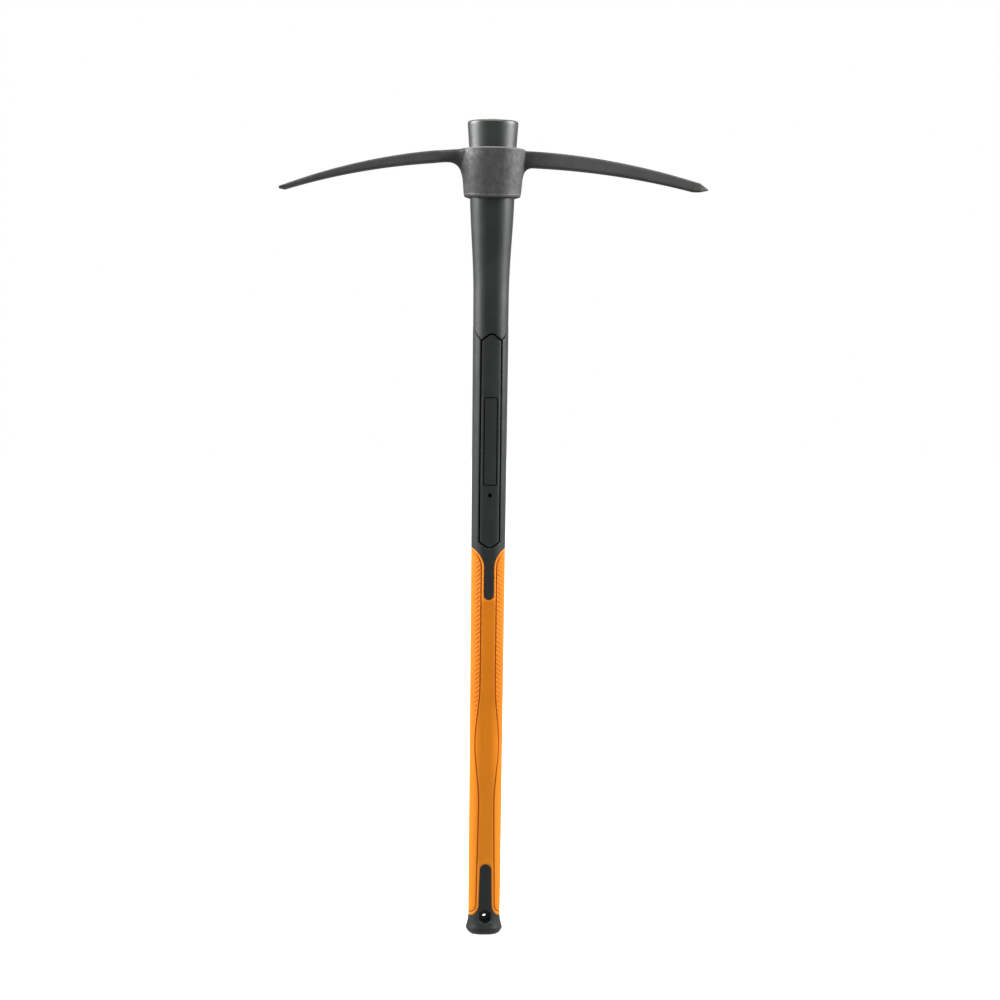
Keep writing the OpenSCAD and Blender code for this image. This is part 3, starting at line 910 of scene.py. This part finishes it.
def collar_half(z):
    t = (z - EYE_Z0) / COLLAR_H
    return mix(EYE_LOW_HALF + COLLAR_LOW_T, EYE_TOP_HALF + COLLAR_TOP_T, t) + EYE_GAP


def bow_r(half, rise):
    return (half**2 + rise**2) / (2 * rise)


LOW_R = bow_r(collar_half(EYE_Z0), COLLAR_BOW)
TOP_R = bow_r(collar_half(EYE_Z1), COLLAR_FALL)


def collar_edges(x):
    """Heights of the collar's lower and upper edges, which bow towards the arms."""
    top = EYE_Z1 - COLLAR_TOP_SINK
    return EYE_Z0 + LOW_R - np.sqrt(LOW_R**2 - x**2), top - TOP_R + np.sqrt(TOP_R**2 - x**2)


def oval_points(half, flat, n):
    """Points round a whole oval section, with the same share of them on its flats whatever its size."""
    flat_n = 3
    quarter = [(flat * k / flat_n, half - flat) for k in range(flat_n)]
    for a in np.linspace(0, math.pi / 2, n - flat_n, endpoint=False):
        quarter.append((flat + (half - flat) * math.sin(a), (half - flat) * math.cos(a)))
    right = [(x, -y) for x, y in quarter] + [(half, 0.0)] + quarter[:0:-1]
    return right + [(0.0, half - flat)] + [(-x, y) for x, y in right[:0:-1]]


COLLAR_N = 22
COLLAR_OUTSIDE = ((0.0, 1.0), (0.005, 0.6), (0.05, 0.0), (0.06, 0.0), (0.3, 0.0), (0.6, 0.0), (0.9, 0.0),
                  (0.98, 0.0), (0.994, 0.4), (1.0, 1.0))
COLLAR_INSIDE = ((1.0, 0.8), (0.985, 0.0), (0.5, 0.0), (0.015, 0.0), (0.0, 0.8))


def lofted(rings, closed=False):
    """Points and faces of a skin over the rings, which may close on the first one again."""
    count = len(rings[0])
    points = [p for ring in rings for p in ring]
    faces = []
    for i in range(len(rings) - 1 + closed):
        j = (i + 1) % len(rings)
        for k in range(count):
            m = (k + 1) % count
            faces.append((i * count + k, i * count + m, j * count + m, j * count + k))
    return points, faces


def collar_mesh():
    """Closed ring of the collar round the eye."""
    def outside(z, inset):
        return collar_half(z) - inset, COLLAR_FLAT

    def inside(z, chamfer):
        return EYE_LOW_HALF + EYE_SLOPE * (z - EYE_Z0) + EYE_GAP + chamfer, FLAT_HALF

    rings = []
    plan = [(t, d, outside) for t, d in COLLAR_OUTSIDE] + [(t, d, inside) for t, d in COLLAR_INSIDE]
    for t, d, section in plan:
        ring = []
        for k, (x, y) in enumerate(oval_points(*section(mix(EYE_Z0, EYE_Z1, t), d), COLLAR_N)):
            z = mix(*collar_edges(x), t)
            ring.append((*oval_points(*section(z, d), COLLAR_N)[k], z))
        rings.append(ring)
    return lofted(rings, closed=True)


def arm_section(x, low, high, half, r, foot_half=None):
    """Rounded section across an arm, counter-clockwise seen from its end, which may narrow to its foot."""
    foot = foot_half or half
    r = min(r, (high - low) / 2 - 0.05, foot - 0.05)
    made = []
    corners = ((half - r, high - r, 0), (r - half, high - r, 90),
               (r - foot, low + r, 180), (foot - r, low + r, 270))
    for cy, cz, a0 in corners:
        for a in np.radians(np.linspace(a0, a0 + 90, 5)):
            made.append((x, cy + r * math.cos(a), cz + r * math.sin(a)))
    return made


def arm_mesh(arm, end):
    """Closed loft of an arm towards +X, with its root inside the collar's wall."""
    def middle(x):
        root = math.sqrt(arm["sweep"] ** 2 - max(0, x - arm["apex"]) ** 2)
        return EYE_Z1 - arm["drop"] - arm["sweep"] + root

    h, w = arm["root_h"], arm["root_w"]
    wall = collar_half(EYE_Z1 - arm["drop"] - h)
    rings = []
    places = [(wall - ARM_SINK, 1.0)]
    for a in np.radians(np.linspace(90, 0, FILLET_RINGS)):
        places.append((wall + arm["fillet"] * (1 - math.sin(a)), 1 - math.cos(a)))
    for x, share in places:
        z = middle(x)
        half = w / 2 + arm["flare"] * share
        foot = w / 2 * (1 - ROOT_NARROWING * share)
        rings.append(arm_section(x, z - h / 2 - arm["fillet"] * share, z + h / 2, half, ARM_ROUND, foot))
    x0, x1 = wall + arm["fillet"], arm["reach"] - arm["end_l"]
    for t in np.linspace(0, 1, ARM_RINGS)[1:]:
        x = mix(x0, x1, t)
        tall = mix(h, arm["tip_h"], t**ARM_TAPER)
        wide = mix(w, arm["tip_w"], t ** arm["grow"])
        z = middle(x)
        rings.append(arm_section(x, z - tall / 2, z + tall / 2, wide / 2, min(ARM_ROUND, tall / 3)))
    rings += end(middle)
    points, faces = lofted(rings)
    count = len(rings[0])
    return points, faces + [tuple(range(count))[::-1], tuple(range(len(points) - count, len(points)))]


def chisel_end(middle):
    """Thin cutting edge, flush with the arm's top and ground from below."""
    x = CHISEL["reach"]
    top = middle(x) + CHISEL["tip_h"] / 2
    return [arm_section(x, top - CHISEL_EDGE_T, top, CHISEL["tip_w"] / 2, CHISEL_EDGE_T / 4)]


def point_end(middle):
    """Ground point: its foot runs level, its top follows the arm to the shoulder and falls to the tip."""
    x = POINT["reach"]
    shoulder_x = x - POINT_SHOULDER_L
    foot = middle(x - POINT["end_l"]) - POINT["tip_h"] / 2
    top = middle(shoulder_x) + POINT["tip_h"] / 2
    tip = middle(x) + POINT_TIP_RISE
    low, high = tip - POINT_TIP_HALF, tip + POINT_TIP_HALF
    return [arm_section(shoulder_x, foot, top, POINT_SHOULDER_HALF, ARM_ROUND / 2),
            arm_section(x, low, high, POINT_TIP_HALF, POINT_TIP_HALF / 4)]


def softened(co, ends, weight, rounds):
    """Points drawn towards the mean of their neighbours, each by its own weight."""
    a, b = ends
    n = len(co)
    count = np.bincount(a, minlength=n) + np.bincount(b, minlength=n)
    for _ in range(rounds):
        mean = [np.bincount(a, co[b, k], n) + np.bincount(b, co[a, k], n) for k in range(3)]
        co = co + weight[:, None] * (np.stack(mean, axis=1) / count[:, None] - co)
    return co


def vertex_vectors(data, key):
    made = np.empty(len(data) * 3)
    data.foreach_get(key, made)
    return made.reshape(-1, 3)


# Where each arm's root is softened: start and fade, end and fade, by distance from the axis
CHISEL_ROOT = (27, 5, 66, 12)
POINT_ROOT = (32, 2, 52, 6)
ROOT_UP = 5
ROOT_UP_FADE = 8
POINT_ROOT_DOWN = 16
POINT_ROOT_FADE = 6
CHISEL_ROUNDS = 60
POINT_ROUNDS = 12
SOFT = 0.5

VOXEL = 0.75
BUMP_SCALE = 0.22
FINE_SCALE = 0.6
FINE_SHARE = 0.6
ARM_BUMP = 0.03
COLLAR_BUMP = 0.10
BUMP_X = 36
BUMP_FADE = 4
OUTER_FADE = 0.3
TOP_RIM_X = -29
TOP_RIM_FADE = 4
TOP_RIM_RIGHT = 0.45
TOP_RIM_RIGHT_X = 20
TOP_RIM_IN = 0.4
TOP_RIM_HALF = 0.8
LOW_RIM_UP = 2.9
LOW_RIM_HALF = 0.7
LOW_RIM_SHARE = 0.6
RIM_END_X = 34


def rough_head():
    """Even mesh over the collar and both arms."""
    points, faces = collar_mesh()
    for (more, more_faces), flip in ((arm_mesh(POINT, point_end), 1), (arm_mesh(CHISEL, chisel_end), -1)):
        start = len(points)
        points = points + [(flip * x, y, z) for x, y, z in more]
        faces += [tuple(start + i for i in face[::flip]) for face in more_faces]
    rough = mesh_object("head_rough", points, faces)
    remesh = rough.modifiers.new("skin", "REMESH")
    remesh.mode = "VOXEL"
    remesh.voxel_size = VOXEL * MM
    evaluated = rough.evaluated_get(bpy.context.evaluated_depsgraph_get())
    mesh = bpy.data.meshes.new_from_object(evaluated)
    bpy.data.objects.remove(rough)
    return mesh


def root_zone(away, z, start, start_fade, end, end_fade):
    along = smoothstep((away - start) / start_fade) * smoothstep((end - away) / end_fade)
    return along * smoothstep((z - EYE_Z0 - ROOT_UP) / ROOT_UP_FADE)


def soft_roots(mesh):
    """The mesh's points, with a wide soft root at the chisel arm and a crisper one at the point arm."""
    co = vertex_vectors(mesh.vertices, "co") / MM
    ends = np.empty(len(mesh.edges) * 2, int)
    mesh.edges.foreach_get("vertices", ends)
    ends = ends.reshape(-1, 2).T
    x, z = co[:, 0], co[:, 2]
    co = softened(co, ends, np.full(len(co), SOFT), 1)
    co = softened(co, ends, SOFT * root_zone(-x, z, *CHISEL_ROOT), CHISEL_ROUNDS)
    under = smoothstep((EYE_Z1 - POINT_ROOT_DOWN - z) / POINT_ROOT_FADE)
    return softened(co, ends, SOFT * under * root_zone(x, z, *POINT_ROOT), POINT_ROUNDS)


def forged(co, normals, outer):
    """Points with the forging's skin, coarse on the collar's outside and fine on the arms."""
    coarse = np.array([noise.noise(Vector(p) * BUMP_SCALE) for p in co])
    fine = np.array([noise.noise(Vector(p) * FINE_SCALE) for p in co])
    depth = mix(ARM_BUMP, COLLAR_BUMP, smoothstep((BUMP_X - np.abs(co[:, 0])) / BUMP_FADE))
    co = co + normals * ((coarse + FINE_SHARE * fine) * depth * outer)[:, None]
    return np.clip(co, np.array(HEAD_LOW), np.array(HEAD_HIGH))


def painted_rim_highlight(x, z):
    """Painted highlight: how strongly the collar's two outer rims are lightened."""
    end = collar_half(EYE_Z0)
    low, high = collar_edges(np.clip(x, -end, end))
    top = dip(z - high + TOP_RIM_IN, TOP_RIM_HALF) * smoothstep((x - TOP_RIM_X) / TOP_RIM_FADE)
    top *= mix(1, TOP_RIM_RIGHT, smoothstep(x / TOP_RIM_RIGHT_X))
    rims = np.maximum(top, LOW_RIM_SHARE * dip(z - low - LOW_RIM_UP, LOW_RIM_HALF))
    return rims * (np.abs(x) < RIM_END_X)


def build_head():
    mesh = rough_head()
    co = soft_roots(mesh)
    mesh.vertices.foreach_set("co", (co * MM).ravel())
    mesh.update()
    normals = vertex_vectors(mesh.vertex_normals, "vector")
    facing = np.sum(normals[:, :2] * co[:, :2], axis=1) / np.maximum(np.hypot(co[:, 0], co[:, 1]), 1)
    outer = smoothstep((facing + 0.1) / OUTER_FADE)
    co = forged(co, normals, outer)
    mesh.vertices.foreach_set("co", (co * MM).ravel())
    # Painted highlight along the collar's rims, kept with the points
    point_values(mesh, "rim_highlight", painted_rim_highlight(co[:, 0], co[:, 2]) * outer)
    mesh.name = "head_forging"
    return placed(mesh, mesh.name, 50)


# Materials
WHITE = (1, 1, 1, 1)


def grey(value):
    return value, value, value


class Nodes:
    """A node tree, built one node at a time."""

    def __init__(self, tree):
        self.tree = tree

    def put(self, socket, value):
        """Links a socket to a node's output, or sets it to a plain value."""
        if isinstance(value, bpy.types.NodeSocket):
            self.tree.links.new(value, socket)
        else:
            socket.default_value = value

    def node(self, kind, inputs=None, **settings):
        made = self.tree.nodes.new(kind)
        for key, value in settings.items():
            setattr(made, key, value)
        for key, value in (inputs or {}).items():
            self.put(made.inputs[key], value)
        return made

    def ramp(self, value, low, high, to_low=0.0, to_high=1.0):
        ends = {"From Min": low, "From Max": high, "To Min": to_low, "To Max": to_high}
        made = self.node("ShaderNodeMapRange", {"Value": value, **ends}, interpolation_type="SMOOTHSTEP")
        return made.outputs[0]

    def math(self, operation, a, b=0.0):
        return self.node("ShaderNodeMath", {0: a, 1: b}, operation=operation).outputs[0]


class Shader(Nodes):
    """A material's nodes, round its surface and the place of each point on the object."""

    def __init__(self, name):
        self.material = bpy.data.materials.new(name)
        self.material.use_nodes = True
        super().__init__(self.material.node_tree)
        self.surface = self.tree.nodes["Principled BSDF"]
        self.place = self.node("ShaderNodeTexCoord").outputs["Object"]

    def set(self, **values):
        """Links or sets the surface's inputs, named with _ for a space."""
        for name, value in values.items():
            self.put(self.surface.inputs[name.replace("_", " ")], value)

    def axis(self, k):
        """Place along X, Y or Z in millimetres."""
        return self.math("DIVIDE", self.node("ShaderNodeSeparateXYZ", {0: self.place}).outputs[k], MM)

    def noise(self, size_mm, detail=3.0, rough=0.55, stretch=(1, 1, 1)):
        """Noise from 0 to 1 with features of about that size."""
        scaled = self.node("ShaderNodeMapping", {"Vector": self.place, "Scale": stretch})
        made = self.node("ShaderNodeTexNoise", {"Vector": scaled.outputs[0], "Scale": 1 / (size_mm * MM),
                                                "Detail": detail, "Roughness": rough})
        return made.outputs["Fac"]

    def blend(self, share, a, b):
        made = self.node("ShaderNodeMix", {0: share}, data_type="RGBA")
        for k, colour in ((6, a), (7, b)):
            self.put(made.inputs[k], (*colour, 1) if isinstance(colour, tuple) else colour)
        return made.outputs[2]

    def attribute(self, name):
        return self.node("ShaderNodeAttribute", attribute_name=name).outputs["Fac"]

    def bump(self, height, depth_mm, strength=1.0):
        inputs = {"Height": height, "Distance": depth_mm * MM, "Strength": strength}
        self.set(Normal=self.node("ShaderNodeBump", inputs).outputs[0])


def polymer_material(name, specular):
    m = Shader(name)
    painted_shading = m.attribute("painted_shading")
    patches = m.ramp(m.noise(60), 0.35, 0.65)
    colour = m.blend(patches, (0.017, 0.019, 0.020), (0.022, 0.024, 0.025))
    # Painted shade: near-black where the painted shading marks grooves, lines and recesses
    colour = m.blend(painted_shading, colour, grey(0.001))
    smudge = m.ramp(m.noise(25, 4), 0.3, 0.7, 0.36, 0.44)
    rough = m.math("ADD", smudge, m.math("MULTIPLY", painted_shading, 0.4))
    m.bump(m.noise(0.9, 4), 0.03, 0.6)
    m.set(Base_Color=colour, Roughness=rough, Specular_IOR_Level=specular)
    return m.material


# Painted shade: a near-black, barely reflecting material for the grooves' bottoms
def groove_shade_material():
    m = Shader("polymer_groove_shade")
    patches = m.ramp(m.noise(8), 0.3, 0.7)
    m.set(Base_Color=m.blend(patches, grey(0.001), grey(0.003)), Roughness=0.9, Specular_IOR_Level=0.1)
    return m.material


# Heights over which the painted light on the lower grip fades out
PAINTED_LIGHT_Z = (GRIP_Z0 + 60, GRIP_Z0 + 250)


def rubber_material():
    m = Shader("orange_rubber")
    painted_shading = m.attribute("painted_shading")
    patches = m.ramp(m.noise(40), 0.3, 0.7)
    colour = m.blend(patches, (0.86, 0.238, 0.004), (0.91, 0.262, 0.006))
    # Painted light: paler, lighter orange towards the butt, making up for the light that falls off low
    # down
    painted_light_low = m.ramp(m.axis(2), *PAINTED_LIGHT_Z, 0.6, 0.0)
    colour = m.blend(painted_light_low, colour, (0.97, 0.31, 0.016))
    # Painted shade: darker orange in seams, hollows and along the edges
    colour = m.blend(painted_shading, colour, (0.50, 0.105, 0.001))
    # Painted highlight: lighter orange on the bead's crest, where the shading is negative
    colour = m.blend(m.math("MULTIPLY", painted_shading, -1.0), colour, (0.97, 0.34, 0.03))
    rough = m.ramp(m.noise(12, 4), 0.3, 0.7, 0.5, 0.62)
    m.bump(m.noise(0.7, 4), 0.03, 0.5)
    m.set(Base_Color=colour, Roughness=rough, Specular_IOR_Level=0.25)
    return m.material


# Place, stretch and size of the painted highlight patch on the collar's upper left
HIGHLIGHT_PATCH_PLACE = (-22.0, -23.0, EYE_Z1 - 7.0)
HIGHLIGHT_PATCH_STRETCH = (1.0, 1.0, 1.9)
HIGHLIGHT_PATCH_R = 15.0
COLLAR_END_X = (35.2, 36.8)
COLLAR_LEAN_Z = EYE_Z0 + 22
COLLAR_LEAN = 4.5
ROOT_SHADE_X = (38, 80)
GROUND_X = POINT["reach"] - POINT["end_l"]
GROUND_FADE = 2.7


def steel_material():
    m = Shader("forged_steel")
    x = m.axis(0)
    away = m.math("ABSOLUTE", x)
    ragged = m.math("MULTIPLY", m.math("SUBTRACT", m.noise(5, 4), 0.5), 6.0)
    left = m.math("LESS_THAN", x, 0.0)
    rise = m.ramp(m.axis(2), COLLAR_LEAN_Z, EYE_Z1, 0.0, COLLAR_LEAN)
    away = m.math("ADD", away, m.math("MULTIPLY", m.math("ADD", ragged, rise), left))
    collar = m.ramp(away, *COLLAR_END_X, 1.0, 0.0)
    arms = m.blend(m.ramp(m.noise(30, 4), 0.3, 0.7), (0.085, 0.085, 0.086), (0.105, 0.105, 0.106))
    # Painted shade: the arms darker near their roots
    arms = m.blend(m.ramp(away, *ROOT_SHADE_X, 0.35, 0.0), arms, grey(0.03))
    grain = m.ramp(m.noise(1.7, 3, 0.6), 0.34, 0.66)
    mottle = m.ramp(m.noise(9, 4, 0.6), 0.35, 0.65)
    body = m.blend(grain, (0.078, 0.078, 0.080), (0.118, 0.118, 0.120))
    body = m.blend(m.math("MULTIPLY", mottle, 0.5), body, (0.155, 0.155, 0.156))
    # Painted highlight: a lighter streaked patch on the collar's upper left, and lighter bands along its
    # rims
    flat = m.node("ShaderNodeMapping", {"Vector": m.place, "Scale": HIGHLIGHT_PATCH_STRETCH})
    spot = [v * k * MM for v, k in zip(HIGHLIGHT_PATCH_PLACE, HIGHLIGHT_PATCH_STRETCH)]
    highlight_patch = m.node("ShaderNodeVectorMath", {0: flat.outputs[0], 1: spot}, operation="DISTANCE")
    highlight_patch = m.ramp(m.math("DIVIDE", highlight_patch.outputs["Value"], MM), 2.0, HIGHLIGHT_PATCH_R, 0.45, 0.0)
    highlight_patch = m.math("MULTIPLY", highlight_patch, m.ramp(m.noise(2.5, 4, 0.65, (0.4, 0.4, 1)), 0.3, 0.62))
    painted_highlight = m.math("MAXIMUM", highlight_patch, m.math("MULTIPLY", m.attribute("rim_highlight"), 0.6))
    body = m.blend(painted_highlight, body, grey(0.38))
    colour = m.blend(collar, arms, body)
    ground = m.ramp(x, GROUND_X - GROUND_FADE, GROUND_X)
    colour = m.blend(ground, colour, (0.075, 0.075, 0.066))
    rough = m.ramp(m.noise(5, 5), 0.3, 0.7, 0.62, 0.74)
    m.bump(m.math("ADD", m.noise(1.6, 5, 0.6), m.math("MULTIPLY", mottle, 0.5)), 0.08, 0.6)
    m.set(Base_Color=colour, Roughness=rough, Metallic=0.75, Specular_IOR_Level=0.5)
    return m.material


def fibre_material():
    m = Shader("glass_fibre")
    strands = m.noise(0.8, 4, 0.6, (1, 1, 0.03))
    colour = m.blend(m.ramp(strands, 0.35, 0.65), (0.62, 0.36, 0.12), (0.80, 0.56, 0.28))
    m.bump(strands, 0.05, 0.6)
    m.set(Base_Color=colour, Roughness=m.ramp(strands, 0.3, 0.7, 0.35, 0.6), Specular_IOR_Level=0.5)
    return m.material


def glowing_floor_material():
    m = Shader("pale_glowing_floor")
    patches = m.ramp(m.noise(400), 0.3, 0.7)
    # The floor glows, weakly near the handle and fully far off, as painted light that keeps it white to
    # the horizon
    away = m.node("ShaderNodeVectorMath", {0: m.place}, operation="LENGTH").outputs["Value"]
    m.set(Base_Color=m.blend(patches, grey(0.90), grey(0.93)), Roughness=0.8,
          Emission_Color=WHITE, Emission_Strength=m.ramp(away, 0.3, 1.6, 0.55, 1.0))
    return m.material


# Studio


def aimed(obj, target):
    obj.rotation_mode = "QUATERNION"
    obj.rotation_quaternion = (Vector(target) - obj.location).to_track_quat("-Z", "Y")


def softbox(name, place, target, width, height, watts_per_m2):
    data = bpy.data.lights.new(name, "AREA")
    data.shape = "RECTANGLE"
    data.size = width
    data.size_y = height
    data.energy = watts_per_m2 * width * height
    made = linked(name, data)
    made.location = place
    aimed(made, target)


FILL_FRONT = 0.18
FILL_SIDE = 0.60
FILL_FLOOR = 0.24
FLOOR_REACH = 25.0
FLOOR_GAP = 0.0002


def build_world():
    """White backdrop for the camera, and a fill that is stronger from the sides and the floor."""
    world = bpy.data.worlds.new("studio")
    bpy.context.scene.world = world
    world.use_nodes = True
    w = Nodes(world.node_tree)
    xyz = w.node("ShaderNodeSeparateXYZ", {0: w.node("ShaderNodeTexCoord").outputs["Generated"]}).outputs
    sides = w.ramp(w.math("ABSOLUTE", xyz[0]), 0.2, 1.0, FILL_FRONT, FILL_SIDE)
    floor = w.ramp(xyz[2], -0.45, -0.02, FILL_FLOOR, 0.0)
    fill = w.tree.nodes["Background"]
    fill.inputs["Color"].default_value = WHITE
    w.put(fill.inputs["Strength"], w.math("ADD", sides, floor))
    backdrop = w.node("ShaderNodeBackground", {"Color": WHITE})
    seen = w.node("ShaderNodeLightPath").outputs["Is Camera Ray"]
    either = w.node("ShaderNodeMixShader", {0: seen, 1: fill.outputs[0], 2: backdrop.outputs[0]})
    w.put(w.tree.nodes["World Output"].inputs[0], either.outputs[0])


def build_studio():
    bpy.context.scene.view_settings.view_transform = "Standard"
    build_world()
    softbox("softbox_left", (-1.7, 0.1, 1.55), (0, 0, 1.55), 1.2, 1.1, 60)
    softbox("softbox_right", (1.7, -0.3, 1.55), (0, 0, 1.55), 1.2, 1.1, 54)
    softbox("softbox_top", (0, -0.4, 2.6), (0, 0, 0.5), 1.4, 1.4, 15)

    mesh = bpy.data.meshes.new("floor")
    corners = [(x * FLOOR_REACH, y * FLOOR_REACH, 0) for x, y in ((-1, -1), (1, -1), (1, 1), (-1, 1))]
    mesh.from_pydata(corners, [], [(0, 1, 2, 3)])
    mesh.materials.append(glowing_floor_material())
    floor = linked("floor", mesh)
    floor.location.z = -FLOOR_GAP
    floor.visible_diffuse = False
    floor.visible_glossy = False


CAMERA_FAR = 2.9
CAMERA_YAW = math.radians(5.0)
CAMERA_Z = 0.590
AIM_Z = 0.4825
CAMERA_PAN = 0.0125
CAMERA_ROLL = math.radians(0.676)
METRES_PER_PIXEL = 0.0011082
IMAGE_SIZE = 1000


def build_camera():
    right = Vector((math.cos(CAMERA_YAW), -math.sin(CAMERA_YAW), 0))
    ahead = Vector((math.sin(CAMERA_YAW), math.cos(CAMERA_YAW), 0))
    aim = Vector((0, 0, AIM_Z)) + right * CAMERA_PAN
    data = bpy.data.cameras.new("camera")
    camera = linked("camera", data)
    camera.location = right * CAMERA_PAN - ahead * CAMERA_FAR + Vector((0, 0, CAMERA_Z))
    aimed(camera, aim)
    camera.rotation_quaternion = camera.rotation_quaternion @ Quaternion((0, 0, 1), CAMERA_ROLL)
    data.sensor_width = 36.0
    data.lens = data.sensor_width * (aim - camera.location).length / (METRES_PER_PIXEL * IMAGE_SIZE)
    bpy.context.scene.camera = camera


def fit(piece, body, node, slot, *materials):
    """Gives a piece its materials and its place on a body, and hides the CAD node that it stands for."""
    for material in materials:
        piece.data.materials.append(material)
    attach(piece, body)
    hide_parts(node)


build_camera()
build_studio()
fit(build_jacket(), "handle", "handle_jacket", "black_polymer", polymer_material("black_polymer", 0.62),
    polymer_material("polymer_crown", 0.88), groove_shade_material())
fit(build_sleeve(), "handle", "grip_sleeve", "orange_rubber", rubber_material())
fit(build_head(), "head", "pick_head", "forged_steel", steel_material())
core = frame["nodes"]["handle_core"]
core.data.materials.clear()
core.data.materials.append(fibre_material())

bpy.context.view_layer.update()
